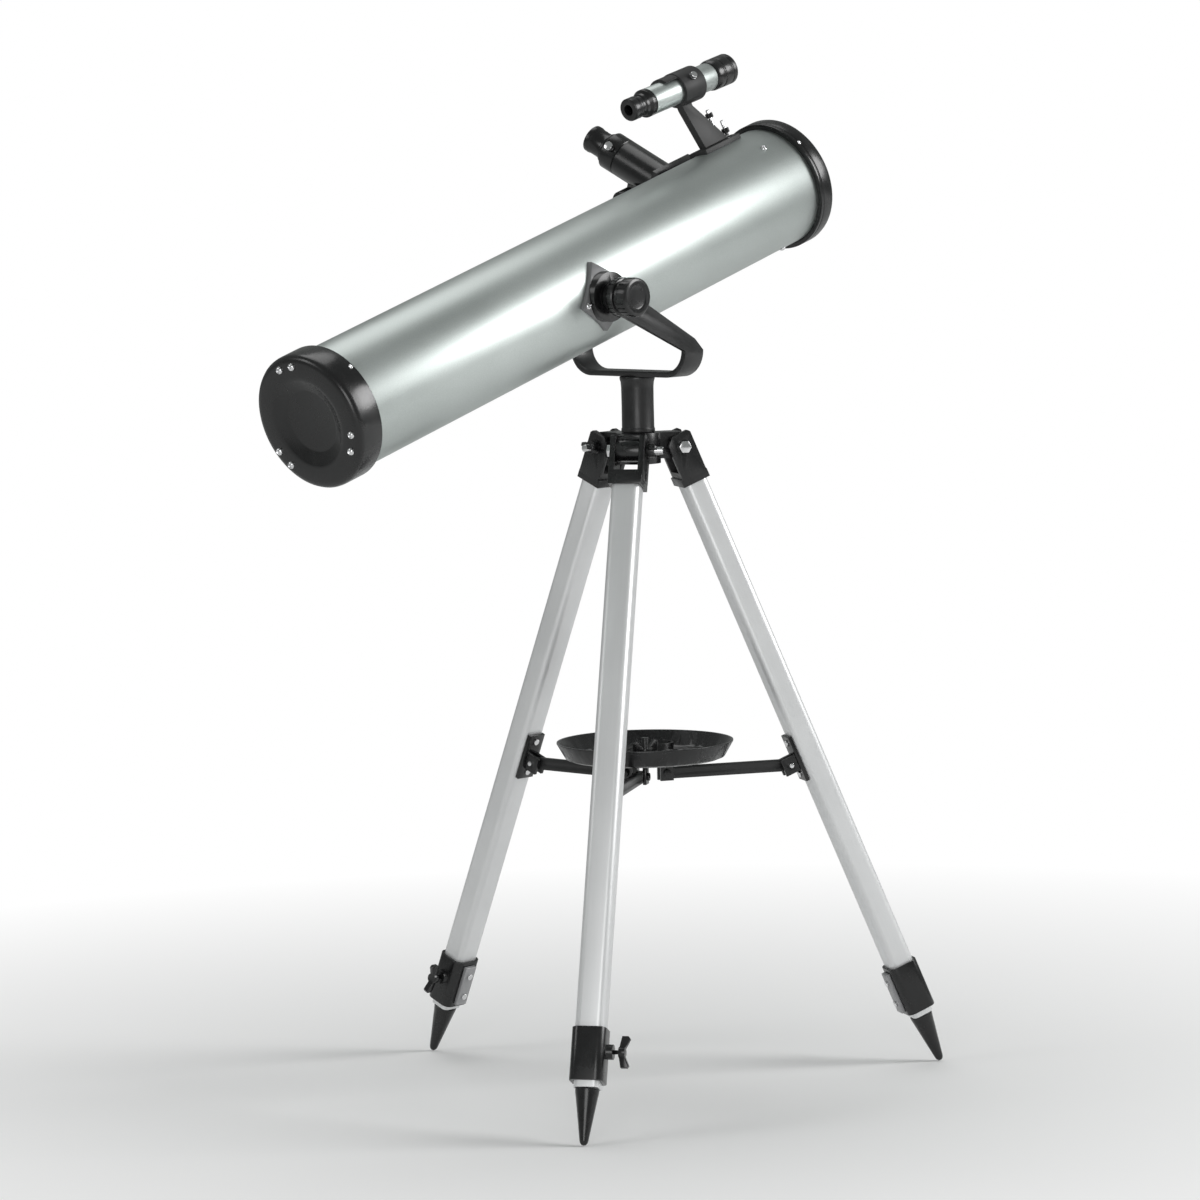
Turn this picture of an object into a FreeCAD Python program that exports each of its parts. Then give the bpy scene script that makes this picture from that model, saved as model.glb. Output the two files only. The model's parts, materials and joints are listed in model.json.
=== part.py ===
import FreeCAD, Part
import Sketcher
import math
import os
import re

# Small reflecting telescope on a yoke mount and a folding aluminium tripod.
# The origin is on the ground under the azimuth axis.  +Z is up and the tube
# points towards +X, tilted up by tube_altitude.  All sizes are millimetres.

doc = FreeCAD.newDocument("telescope_on_tripod")

# ---------------------------------------------------------------------------
# Driving dimensions
# ---------------------------------------------------------------------------
DIMENSIONS = {
    # optical tube; stations along the tube are measured from the altitude pivot
    "tube_radius": 50.0, "tube_wall": 1.2, "tube_altitude": 16.6,
    "pivot_back": 92.0, "pivot_height": 652.4,
    "rear_face": 293.1, "front_face": 289.1,
    "fit_gap": 0.15, "clear_gap": 0.3, "running_gap": 0.05,
    # rear cell, primary mirror and collimation screws
    "cell_radius": 54.1, "cell_length": 25.6, "cell_floor": 8.0,
    "recess_radius": 25.0, "recess_depth": 5.0,
    "carrier_radius": 48.3, "carrier_start": 17.0, "carrier_thick": 5.0,
    "mirror_radius": 38.0, "mirror_thick": 9.0, "mirror_curve": 1060.0,
    "screw_circle": 45.5, "screw_radius": 1.5, "screw_head": 3.1,
    "screw_head_high": 2.4, "spring_radius": 3.2, "spring_wire": 0.5,
    # front ring, spider and secondary mirror
    "ring_radius": 54.3, "ring_length": 16.2, "ring_lip": 2.0, "ring_bore": 47.4,
    "spider_station": 239.0, "spider_vane": 1.2, "spider_length": 14.0,
    "spider_hub": 8.5, "secondary_radius": 12.0, "secondary_thick": 3.0,
    # focuser and eyepiece; heights are measured from the tube axis
    "focus_station": 198.8, "focus_clock": 60.0,
    "housing_radius": 16.0, "housing_top": 99.6,
    "draw_radius": 13.0, "draw_bore": 11.4, "draw_bottom": 45.0,
    "head_bottom": 100.0, "head_top": 114.7, "socket_radius": 12.3,
    "eyepiece_barrel": 12.2, "eyepiece_bottom": 92.0, "eyepiece_body": 11.5,
    "eyepiece_top": 135.8, "pinion_side": 18.6, "pinion_height": 74.0,
    "pinion_radius": 3.4, "pinion_pitch": 3.55, "shaft_radius": 2.0, "focus_knob_radius": 9.0,
    # finder; stations along the finder are measured from its saddle point
    "finder_station": 214.0, "finder_clock": 12.0, "finder_lift": 106.8,
    "finder_dip": 1.9, "finder_radius": 11.5, "finder_wall": 1.0,
    "finder_tube_rear": 40.0, "finder_tube_front": 36.5,
    "finder_end": 61.0, "finder_cell_radius": 12.9,
    "finder_eye_radius": 9.4, "finder_eye_end": 64.0, "finder_eye_step": 53.0,
    "finder_ring_radius": 14.6, "finder_ring_bore": 11.75,
    # yoke, trunnion brackets and altitude knobs
    "bracket_side": 41.0, "bracket_outer": 54.0, "boss_radius": 20.0, "boss_face": 58.2,
    "arm_inner": 58.5, "arm_thick": 4.5, "arm_width": 22.0, "yoke_bend": 22.0,
    "yoke_bottom": 583.0, "stud_radius": 4.0,
    "knob_radius": 15.5, "knob_end": 87.0,
    # azimuth column and tripod head
    "column_radius": 13.3, "column_bottom": 537.3, "spindle_radius": 7.0,
    "head_radius": 18.0, "head_low": 512.0, "head_high": 537.0, "lug_width": 18.9,
    "lug_radius": 9.2, "bolt_radius": 3.0,
    # legs; stations along a leg are measured from the centre of its rounded foot
    "foot_circle": 252.0, "foot_round": 3.3, "leg_lean": 22.8,
    "leg_width": 23.5, "leg_depth": 21.0, "leg_corner": 5.5, "leg_wall": 1.3,
    "leg_bottom": 60.0, "leg_top": 539.0,
    "inner_width": 20.3, "inner_depth": 17.8, "inner_corner": 4.2, "inner_top": 400.0,
    "inner_bottom": 41.5, "foot_top": 41.0, "foot_radius": 9.8,
    "pivot_out": 1.5, "pivot_station": 565.0,
    "cheek_outer": 14.25, "cheek_thick": 4.5, "cheek_front": 11.3, "cheek_back": 10.5,
    "cheek_top": 576.5, "block_top": 546.0,
    "collar_width": 27.2, "collar_depth": 25.2, "collar_bottom": 46.6, "collar_top": 89.0,
    "clamp_station": 71.0, "clamp_stud": 1.7,
    # spreader and tray
    "strut_station": 283.3, "strut_in": 19.2, "strut_height": 10.0, "strut_thick": 4.0,
    "hub_pivot": 17.0, "hub_level": 257.0, "strut_pin": 2.0,
    "tray_radius": 72.3, "tray_rim": 284.6, "tray_base": 270.0, "tray_wall": 2.0,
}

sheet = doc.addObject("Spreadsheet::Sheet", "Dims")
sheet.Label = "dimensions"
for row, (alias, number) in enumerate(DIMENSIONS.items(), start=1):
    sheet.set(f"A{row}", alias)
    sheet.set(f"B{row}", str(number))
    sheet.setAlias(f"B{row}", alias)
doc.recompute()


def size(alias):
    """Number that the sheet holds for an alias."""
    return float(sheet.get(alias))


def dims(expression):
    """Expression with every alias pointed at the sheet."""
    def point(word):
        return "Dims." + word.group() if word.group() in DIMENSIONS else word.group()
    return re.sub(r"[a-z_]+", point, str(expression))


def bind(item, **expressions):
    """Tie properties of an object to the sheet."""
    for name, expression in expressions.items():
        item.setExpression(name, dims(expression))
    return item


# ---------------------------------------------------------------------------
# Frames
# ---------------------------------------------------------------------------
def vector(x=0.0, y=0.0, z=0.0):
    return FreeCAD.Vector(x, y, z)


def axes(origin, z_axis, x_axis):
    """Placement with its Z and X axes along two square directions."""
    y_axis = z_axis.cross(x_axis)
    return FreeCAD.Placement(origin, FreeCAD.Rotation(x_axis, y_axis, z_axis, "ZXY"))


def shift(x=0.0, y=0.0, z=0.0):
    return FreeCAD.Placement(vector(x, y, z), FreeCAD.Rotation())


def turn(axis, degrees, x=0.0, y=0.0, z=0.0):
    return FreeCAD.Placement(vector(x, y, z), FreeCAD.Rotation(axis, degrees))


AHEAD, SIDE, UP = vector(1), vector(0, 1), vector(0, 0, 1)
PIVOT = vector(-size("pivot_back"), 0, size("pivot_height"))
ALTITUDE = math.radians(size("tube_altitude"))
TUBE_AXIS = vector(math.cos(ALTITUDE), 0, math.sin(ALTITUDE))
TUBE_UP = vector(-math.sin(ALTITUDE), 0, math.cos(ALTITUDE))


def around_tube(clock):
    """Direction square to the tube, at a clock angle from its top towards +Y."""
    angle = math.radians(clock)
    return TUBE_UP * math.cos(angle) + SIDE * math.sin(angle)


def along_tube(station, clock=0.0):
    """Frame on the tube axis: Z runs to the front, X points at the clock angle."""
    return axes(PIVOT + TUBE_AXIS * station, TUBE_AXIS, around_tube(clock))


def off_tube(station, clock):
    """Frame on the tube axis: Z points out at the clock angle, X runs to the front."""
    return axes(PIVOT + TUBE_AXIS * station, around_tube(clock), TUBE_AXIS)


def along_leg(angle):
    """Frame at a foot: Z runs up the leg, X points outwards, Y is tangential."""
    heading = math.radians(angle)
    lean = math.radians(size("leg_lean"))
    out = vector(math.cos(heading), math.sin(heading))
    foot = out * size("foot_circle") + UP * size("foot_round")
    up_leg = UP * math.cos(lean) - out * math.sin(lean)
    return axes(foot, up_leg, out * math.cos(lean) + UP * math.sin(lean))


def leg_heading(angle):
    """Frame on the azimuth axis: X points at a leg, Z is up."""
    return turn(UP, angle)


# ---------------------------------------------------------------------------
# Solids
# ---------------------------------------------------------------------------
def cylinder(name, radius, height, place=None, angle=360):
    """Round bar that rises along Z from the origin of its placement."""
    item = doc.addObject("Part::Cylinder", name)
    bind(item, Radius=radius, Height=height)
    item.Angle = angle
    item.Placement = place or FreeCAD.Placement()
    return item


def cone(name, low_radius, high_radius, height, place=None):
    item = doc.addObject("Part::Cone", name)
    bind(item, Radius1=low_radius, Radius2=high_radius, Height=height)
    item.Placement = place or FreeCAD.Placement()
    return item


def sphere(name, radius, place=None):
    item = doc.addObject("Part::Sphere", name)
    bind(item, Radius=radius)
    item.Placement = place or FreeCAD.Placement()
    return item


def box(name, length, width, height, place=None):
    """Block centred on X and Y that rises along Z."""
    item = doc.addObject("Part::Box", name)
    bind(item, Length=length, Width=width, Height=height)
    item.recompute()
    corner = shift(-item.Length.Value / 2, -item.Width.Value / 2)
    item.Placement = (place or FreeCAD.Placement()) * corner
    return item


def fuse(name, *items, place=None):
    item = doc.addObject("Part::MultiFuse", name)
    item.Shapes = list(items)
    item.Placement = place or FreeCAD.Placement()
    return item


def cut(name, base, *tools, place=None):
    item = doc.addObject("Part::Cut", name)
    item.Base = base
    item.Tool = tools[0] if len(tools) == 1 else fuse(name + "_tools", *tools)
    item.Placement = place or FreeCAD.Placement()
    return item


def common(name, first, second, place=None):
    item = doc.addObject("Part::Common", name)
    item.Base = first
    item.Tool = second
    item.Placement = place or FreeCAD.Placement()
    return item


def group(name, *items, place=None):
    """Separate solids that share one name."""
    item = doc.addObject("Part::Compound", name)
    item.Links = list(items)
    item.Placement = place or FreeCAD.Placement()
    return item


def draw(body, role, outline):
    """Closed sketch on a body's own plane, each corner tied to the sheet."""
    sketch = body.newObject("Sketcher::SketchObject", body.Name + "_outline")
    plane = [item for item in body.Origin.OriginFeatures if item.Role == role][0]
    sketch.AttachmentSupport = [(plane, "")]
    sketch.MapMode = "FlatFace"
    count = len(outline)
    step = 2 * math.pi / count
    rough = [vector(math.cos(step * corner), math.sin(step * corner)) for corner in range(count)]
    for corner in range(count):
        sketch.addGeometry(Part.LineSegment(rough[corner], rough[(corner + 1) % count]), False)
    for corner in range(count):
        sketch.addConstraint(Sketcher.Constraint("Coincident", corner, 2, (corner + 1) % count, 1))
    for corner, (across, along) in enumerate(outline):
        for kind, start, target in (("DistanceX", rough[corner].x, across),
                                    ("DistanceY", rough[corner].y, along)):
            index = sketch.addConstraint(Sketcher.Constraint(kind, -1, 1, corner, 1, start))
            sketch.setExpression(f"Constraints[{index}]", dims(target))
    return sketch


def revolved(name, outline, place=None):
    """Turned body: corners are (radius, height) and Z is the turning axis."""
    body = doc.addObject("PartDesign::Body", name)
    sketch = draw(body, "XZ_Plane", outline)
    turned = body.newObject("PartDesign::Revolution", name + "_turned")
    turned.Profile = sketch
    turned.ReferenceAxis = (sketch, ["V_Axis"])
    turned.Angle = 360
    body.Placement = place or FreeCAD.Placement()
    return body


def padded(name, outline, thickness, role="XY_Plane", place=None):
    """Flat body of one outline, centred on its sketch plane."""
    body = doc.addObject("PartDesign::Body", name)
    pad = body.newObject("PartDesign::Pad", name + "_pad")
    pad.Profile = draw(body, role, outline)
    bind(pad, Length=thickness)
    pad.Midplane = True
    body.Placement = place or FreeCAD.Placement()
    return body


def rounded_bar(name, depth, width, corner, low, high):
    """Bar of rounded rectangular section along Z: depth along X, width along Y."""
    body = doc.addObject("PartDesign::Body", name)
    outline = [(f"-({depth}) / 2", f"-({width}) / 2"), (f"({depth}) / 2", f"-({width}) / 2"),
               (f"({depth}) / 2", f"({width}) / 2"), (f"-({depth}) / 2", f"({width}) / 2")]
    pad = body.newObject("PartDesign::Pad", name + "_pad")
    pad.Profile = draw(body, "XY_Plane", outline)
    bind(pad, Length=f"({high}) - ({low})")
    doc.recompute()
    upright = [f"Edge{number}" for number, edge in enumerate(pad.Shape.Edges, start=1)
               if abs(edge.Vertexes[0].Z - edge.Vertexes[-1].Z) > 1]
    rounding = body.newObject("PartDesign::Fillet", name + "_rounding")
    rounding.Base = (pad, upright)
    bind(rounding, Radius=corner)
    body.Tip = rounding
    body.setExpression(".Placement.Base.z", dims(low))
    return body


def hexagon(radius):
    """Corners of a hexagon of one radius."""
    return [(f"({radius}) * {math.cos(math.radians(60 * corner)):.5f}",
             f"({radius}) * {math.sin(math.radians(60 * corner)):.5f}") for corner in range(6)]


SPREAD = (-30, 90, 210)
SIDEWAYS = FreeCAD.Rotation(AHEAD, -90)


def across(y, x=0.0, z=0.0):
    """Placement whose Z axis runs along +Y of its parent."""
    return FreeCAD.Placement(vector(x, y, z), SIDEWAYS)


# ---------------------------------------------------------------------------
# Optical tube
# ---------------------------------------------------------------------------
tube_blank = revolved("tube_blank", [
    ("tube_radius - tube_wall", "cell_floor + clear_gap - rear_face"),
    ("tube_radius", "cell_floor + clear_gap - rear_face"),
    ("tube_radius", "front_face - ring_lip - clear_gap"),
    ("tube_radius - tube_wall", "front_face - ring_lip - clear_gap")])
focuser_way = cylinder("focuser_way", "draw_radius + 2.4", "tube_radius * 2",
                       turn(SIDE, 90, z=size("focus_station")))
cut("main_tube", tube_blank, focuser_way, place=along_tube(0, size("focus_clock")))

# Rear cell: a moulded cap with a sunk centre and three pairs of screws.
REAR = along_tube(-size("rear_face"))
PAIR_CLOCKS = (-109, 12, 131)
PAIR_SPREAD = 9.0


def on_circle(clock, height=0.0, radius=None):
    """Place on the screw circle; the frame's Y axis points towards -Y at clock 0."""
    angle = math.radians(-clock)
    reach = size("screw_circle") if radius is None else radius
    return shift(reach * math.cos(angle), reach * math.sin(angle), height)


cell_blank = revolved("cell_blank", [
    ("0", "recess_depth"), ("recess_radius", "recess_depth"), ("recess_radius + 10", "0"),
    ("cell_radius - 5.6", "0"), ("cell_radius - 1.6", "1.6"), ("cell_radius", "5.6"),
    ("cell_radius", "cell_length"), ("tube_radius + fit_gap", "cell_length"),
    ("tube_radius + fit_gap", "cell_floor"), ("0", "cell_floor")])
screw_holes = [cylinder(f"cell_hole_{number}", "screw_radius + running_gap", "20",
                        on_circle(clock + side, -5))
               for number, (clock, side) in enumerate(
                   [(clock, side) for clock in PAIR_CLOCKS for side in (-PAIR_SPREAD, PAIR_SPREAD)])]
cut("rear_cell", cell_blank, *screw_holes, place=REAR)

# Mirror carrier plate, pulled by the adjusters and pushed by the lock screws.
carrier_blank = cylinder("carrier_blank", "carrier_radius", "carrier_thick",
                         shift(z=size("carrier_start")))
carrier_holes = [cylinder(f"carrier_hole_{number}", "screw_radius + running_gap", "30",
                          on_circle(clock - PAIR_SPREAD, 5))
                 for number, clock in enumerate(PAIR_CLOCKS)]
cut("mirror_carrier", carrier_blank, *carrier_holes, place=REAR)

MIRROR_BACK = size("carrier_start") + size("carrier_thick")
mirror_blank = cylinder("mirror_blank", "mirror_radius", "mirror_thick", shift(z=MIRROR_BACK))
mirror_bowl = sphere("mirror_bowl", "mirror_curve",
                     shift(z=MIRROR_BACK + size("mirror_thick") + size("mirror_curve") - 0.7))
cut("primary_mirror", mirror_blank, mirror_bowl, place=REAR)

clips = []
for clock in (70, 190, 310):
    post = box(f"clip_post_{clock}", "3", "9", "mirror_thick + 3",
               shift(size("mirror_radius") + 1.8, 0, MIRROR_BACK))
    lip = box(f"clip_lip_{clock}", "6.3", "9", "1.5",
              shift(size("mirror_radius") + 0.15, 0, MIRROR_BACK + size("mirror_thick") + 0.3))
    clips.append(fuse(f"clip_{clock}", post, lip, place=turn(UP, -clock)))
group("mirror_clips", *clips, place=REAR)

springs = []
for number, clock in enumerate(PAIR_CLOCKS):
    gap = size("carrier_start") - size("cell_floor")
    wire = size("spring_wire")
    coil_radius = size("spring_radius") - wire
    coil = Part.makeHelix((gap - 2 * wire - 0.2) / 4, gap - 2 * wire - 0.2, coil_radius)
    section = Part.Wire(Part.makeCircle(wire, vector(coil_radius, 0, 0), SIDE))
    spring = doc.addObject("Part::Feature", f"spring_{number}")
    spring.Shape = Part.Wire(coil).makePipeShell([section], True, True)
    spring.Placement = on_circle(clock - PAIR_SPREAD, size("cell_floor") + wire + 0.1)
    springs.append(spring)
group("cell_springs", *springs, place=REAR)


def round_screw(name, head_radius, head_high, shank_radius, shank_long, place):
    """Screw whose head sits on Z = 0, with its shank along +Z."""
    head = cylinder(name + "_head", head_radius, head_high, shift(z=-size("screw_head_high")))
    shank = cylinder(name + "_shank", shank_radius, f"{shank_long}")
    return fuse(name, head, shank, place=place)


for number, clock in enumerate(PAIR_CLOCKS, start=1):
    round_screw(f"collimation_screw_{number}", "screw_head", "screw_head_high", "screw_radius",
                "carrier_start + carrier_thick", REAR * on_circle(clock - PAIR_SPREAD))
locks = [round_screw(f"lock_screw_{clock}", "screw_head", "screw_head_high", "screw_radius",
                     "carrier_start - 0.1", on_circle(clock + PAIR_SPREAD))
         for clock in PAIR_CLOCKS]
group("cell_lock_screws", *locks, place=REAR)

# Front ring, spider and secondary mirror.
ring_blank = revolved("ring_blank", [
    ("tube_radius + fit_gap", "0"), ("ring_radius", "0"), ("ring_radius", "ring_length - 2.4"),
    ("ring_radius - 1.8", "ring_length"), ("ring_bore", "ring_length"),
    ("ring_bore", "ring_length - ring_lip"),
    ("tube_radius + fit_gap", "ring_length - ring_lip")],
    place=along_tube(size("front_face") - size("ring_length")))
RING_SCREW = off_tube(size("front_face") - 13.0, -46)
ring_pocket = cylinder("ring_pocket", "2.1", "4", RING_SCREW * shift(z=size("ring_radius") - 1.6))
cut("front_ring", ring_blank, ring_pocket)

SPIDER_CLOCKS = (-32, 88, 208)
vanes = [cylinder("spider_core", "spider_hub", "spider_length")]
for clock in SPIDER_CLOCKS:
    reach = size("tube_radius") - size("tube_wall") - 0.1
    vanes.append(box(f"spider_vane_{clock}", "tube_radius - tube_wall - 0.1", "spider_vane",
                     "spider_length", turn(UP, -clock) * shift(reach / 2)))
fuse("spider", *vanes, place=along_tube(size("spider_station")))

tube_screws = []
for clock in SPIDER_CLOCKS:
    dome = cylinder(f"spider_screw_{clock}", "2.6", "1.8",
                    off_tube(size("spider_station") + 7, clock) * shift(z=size("tube_radius") + 0.05))
    tube_screws.append(dome)

CELL_SCREW = off_tube(22.0 - size("rear_face"), -44.5)
tube_screws.append(cylinder("cell_rim_screw", "1.9", "1.4",
                            CELL_SCREW * shift(z=size("cell_radius") + 0.05)))
tube_screws.append(cylinder("ring_rim_screw", "1.9", "1.4",
                            RING_SCREW * shift(z=size("ring_radius") - 1.5)))

stem_low = size("focus_station") + 29
DIAGONAL = turn(SIDE, -45, z=size("focus_station"))
holder_bar = cylinder("holder_bar", "secondary_radius", "48", shift(z=size("focus_station") - 18))
holder_stem = cylinder("holder_stem", "4", "spider_station - focus_station - 29.2",
                       shift(z=stem_low))
holder_solid = fuse("holder_solid", holder_bar, holder_stem)
below_slope = box("below_slope", "90", "90", "60",
                  DIAGONAL * shift(z=-60 + size("secondary_thick") + 0.1))
cut("secondary_holder", holder_solid, below_slope, place=along_tube(0, size("focus_clock")))
mirror_rod = cylinder("mirror_rod", "secondary_radius - 0.8", "60",
                      shift(z=size("focus_station") - 30))
mirror_slab = box("mirror_slab", "90", "90", "secondary_thick", DIAGONAL)
common("secondary_mirror", mirror_rod, mirror_slab, place=along_tube(0, size("focus_clock")))

# ---------------------------------------------------------------------------
# Focuser and eyepiece.  Z points out of the tube, X to the front, Y away
# from the finder.
# ---------------------------------------------------------------------------
FOCUSER = off_tube(size("focus_station"), size("focus_clock"))
TUBE_CORE = turn(SIDE, 90, x=-60)

barrel = cylinder("housing_barrel", "housing_radius", "housing_top - 44", shift(z=44))
saddle = box("housing_saddle", "46", "44", "16", shift(z=size("tube_radius") - 12))
gear_box = box("housing_gear_box", "20", "12", "20",
               shift(y=size("pinion_side") - 1.5, z=size("pinion_height") - 10))
housing_solid = fuse("housing_solid", barrel, saddle, gear_box)
tube_space = cylinder("tube_space", "tube_radius + fit_gap", "120", TUBE_CORE)
bore = cylinder("housing_bore", "draw_radius + running_gap", "80", shift(z=35))
rack_way = box("rack_way", "6.6", "8", "80", shift(y=size("draw_radius") - 1.4, z=35))
pinion_space = cylinder("pinion_space", "pinion_radius + clear_gap", "9.2",
                        turn(SIDE, 90, x=-4.6, y=size("pinion_side"), z=size("pinion_height")))
shaft_way = cylinder("shaft_way", "shaft_radius + running_gap", "60",
                     turn(SIDE, 90, x=-30, y=size("pinion_side"), z=size("pinion_height")))
cut("focuser_housing", housing_solid, tube_space, bore, rack_way, pinion_space, shaft_way,
    place=FOCUSER)

draw_tube = revolved("draw_tube", [
    ("draw_bore", "draw_bottom"), ("draw_radius", "draw_bottom"), ("draw_radius", "head_bottom"),
    ("housing_radius - 1", "head_bottom"), ("housing_radius", "head_bottom + 1"),
    ("housing_radius", "head_top - 1"), ("housing_radius - 1", "head_top"),
    ("socket_radius", "head_top"), ("socket_radius", "eyepiece_bottom - 2"),
    ("draw_bore", "eyepiece_bottom - 2")])
rack = box("rack_strip", "6", "2.6", "50", shift(y=size("draw_radius") + 0.6, z=47))
LEAVES = 10
TOOTH_STEP = 2 * math.pi * size("pinion_pitch") / LEAVES
rack_gaps = [box(f"rack_gap_{tooth}", "7", "1.2", "1.1",
                 shift(y=size("draw_radius") + 1.8, z=49 + TOOTH_STEP * tooth))
             for tooth in range(21)]
THUMB = turn(UP, 222, z=size("head_bottom") + 7) * turn(SIDE, 90)
clamp_hole = cylinder("clamp_hole", "1.55", "12", THUMB * shift(z=10))
cut("focuser_drawtube", fuse("draw_solid", draw_tube, rack), clamp_hole, *rack_gaps, place=FOCUSER)

PINION = turn(SIDE, 90, y=size("pinion_side"), z=size("pinion_height"))
pinion_bar = cylinder("pinion_bar", "shaft_radius", "26", shift(z=-13))
pinion_gear = cylinder("pinion_gear", "pinion_radius", "8", shift(z=-4))
leaf_gaps = [box(f"leaf_gap_{leaf}", "1.1", "0.9", "8.4",
                 turn(UP, 360 / LEAVES * leaf) * shift(x=size("pinion_radius"), z=-4.2))
             for leaf in range(LEAVES)]
cut("pinion_shaft", fuse("pinion_solid", pinion_bar, pinion_gear), *leaf_gaps,
    place=FOCUSER * PINION)
revolved("focus_knob", [
    ("shaft_radius", "-29.5"), ("focus_knob_radius - 1.2", "-29.5"),
    ("focus_knob_radius", "-28.3"), ("focus_knob_radius", "-15.5"),
    ("focus_knob_radius - 1.2", "-14.5"), ("5", "-14.5"), ("5", "-13"), ("0", "-13"),
    ("0", "-13.4"), ("shaft_radius", "-13.4")], place=FOCUSER * PINION)

thumb_stud = cylinder("thumb_stud", "1.5", "8", shift(z=size("eyepiece_barrel") + 0.15))
thumb_head = cylinder("thumb_head", "3.6", "5", shift(z=size("housing_radius") + 1.2))
fuse("eyepiece_thumbscrew", thumb_stud, thumb_head, place=FOCUSER * THUMB)

eyepiece_shell = revolved("eyepiece_shell", [
    ("eyepiece_barrel - 1.2", "eyepiece_bottom"), ("eyepiece_barrel", "eyepiece_bottom"),
    ("eyepiece_barrel", "head_top + 0.3"), ("eyepiece_body + 1.6", "head_top + 0.3"),
    ("eyepiece_body + 1.6", "head_top + 3"), ("eyepiece_body - 0.4", "head_top + 4"),
    ("eyepiece_body - 0.4", "eyepiece_top - 6"), ("eyepiece_body", "eyepiece_top - 5"),
    ("eyepiece_body", "eyepiece_top - 0.8"), ("eyepiece_body - 0.8", "eyepiece_top"),
    ("7.5", "eyepiece_top"), ("6.2", "eyepiece_top - 4"), ("6.2", "eyepiece_top - 8"),
    ("eyepiece_barrel - 1.2", "eyepiece_top - 12")])
eye_lens = cylinder("eye_lens", "6.1", "3", shift(z=size("eyepiece_top") - 7.6))
group("eyepiece", eyepiece_shell, eye_lens, place=FOCUSER)

# ---------------------------------------------------------------------------
# Finder.  Its own frame runs along the small tube, X points away from the
# main tube.
# ---------------------------------------------------------------------------
SADDLE = off_tube(size("finder_station"), size("finder_clock"))
FINDER = SADDLE * shift(z=size("finder_lift")) * turn(SIDE, 90 + size("finder_dip")) * turn(UP, 180)

foot_block = box("finder_foot_block", "44", "20", "12", shift(x=15, z=44))
foot_round = cylinder("finder_foot_round", "bracket_outer", "120", TUBE_CORE)
foot_plate = common("finder_foot_plate", foot_block, foot_round)
stem = padded("finder_stem", [
    ("2", "47"), ("29", "47"), ("29", "54"), ("4", "90"), ("4", "99"), ("-7", "99"),
    ("-7", "90")], "7", role="XZ_Plane")
FOOT_BOLTS = ((21.5, 81, 74), (33.0, 68, 57))
foot_solid = cut("finder_foot_solid", fuse("foot_and_stem", foot_plate, stem),
                 cylinder("finder_tube_space", "tube_radius + fit_gap", "120", TUBE_CORE),
                 cylinder("finder_stud_way", "1.9", "40", shift(x=FOOT_BOLTS[0][0], z=54.3)))
front_band = cylinder("finder_front_band", "finder_ring_radius", "25", shift(z=-7))
top_strap = common("finder_top_strap",
                   cylinder("strap_round", "finder_ring_radius - 0.6", "20", shift(z=-22)),
                   box("strap_block", "6", "20", "22", shift(x=12.5, z=-23)))
bands = fuse("finder_bands", front_band, top_strap, place=SADDLE.inverse() * FINDER)
finder_bore = cylinder("finder_bore", "finder_ring_bore", "80", shift(z=-40))
RING_MIDDLE = 5.5
FINDER_SCREWS = (-66, 66)
screw_ways = [cylinder(f"finder_way_{number}", "1.3", "8",
                       turn(UP, -clock) * turn(SIDE, 90, x=9, z=RING_MIDDLE))
              for number, clock in enumerate(FINDER_SCREWS)]
finder_space = fuse("finder_space", finder_bore, *screw_ways, place=SADDLE.inverse() * FINDER)
cut("finder_bracket", fuse("finder_bracket_solid", foot_solid, bands), finder_space, place=SADDLE)
for number, clock in enumerate(FINDER_SCREWS, start=1):
    tip = cylinder(f"finder_tip_{number}", "1.25", "5", shift(z=size("finder_radius") + 0.1))
    cap = cylinder(f"finder_cap_{number}", "3", "3.4", shift(z=size("finder_ring_radius") + 0.6))
    fuse(f"finder_screw_{number}", tip, cap,
         place=FINDER * turn(UP, -clock) * turn(SIDE, 90, z=RING_MIDDLE))

for number, (ahead_by, top, nut_low) in enumerate(FOOT_BOLTS):
    stud = cylinder(f"foot_stud_{number}", "1.6", f"{top - 54.6}", shift(x=ahead_by, z=54.6))
    nut = padded(f"foot_nut_{number}", hexagon("3.4"), "4", place=shift(x=ahead_by, z=nut_low))
    tube_screws.append(fuse(f"foot_bolt_{number}", stud, nut, place=SADDLE))

revolved("finder_tube", [
    ("finder_radius - finder_wall", "-finder_tube_rear"), ("finder_radius", "-finder_tube_rear"),
    ("finder_radius", "finder_tube_front"), ("finder_radius - finder_wall", "finder_tube_front")],
    place=FINDER)
cell_shell = revolved("finder_cell_shell", [
    ("finder_radius - finder_wall - 1.1", "finder_tube_front - 8"),
    ("finder_radius - finder_wall - 0.05", "finder_tube_front - 8"),
    ("finder_radius - finder_wall - 0.05", "finder_tube_front + 0.1"),
    ("finder_radius + 0.6", "finder_tube_front + 0.1"),
    ("finder_cell_radius", "finder_tube_front + 3"), ("finder_cell_radius", "finder_end - 0.8"),
    ("finder_cell_radius - 0.8", "finder_end"), ("finder_cell_radius - 2", "finder_end"),
    ("finder_cell_radius - 2.2", "finder_end - 8"), ("finder_cell_radius - 3.4", "finder_end - 8"),
    ("finder_cell_radius - 3.4", "finder_tube_front + 3")])
objective = cylinder("objective_lens", "finder_cell_radius - 2.4", "3.5",
                     shift(z=size("finder_end") - 7.9))
group("finder_objective", cell_shell, objective, place=FINDER)
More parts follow.
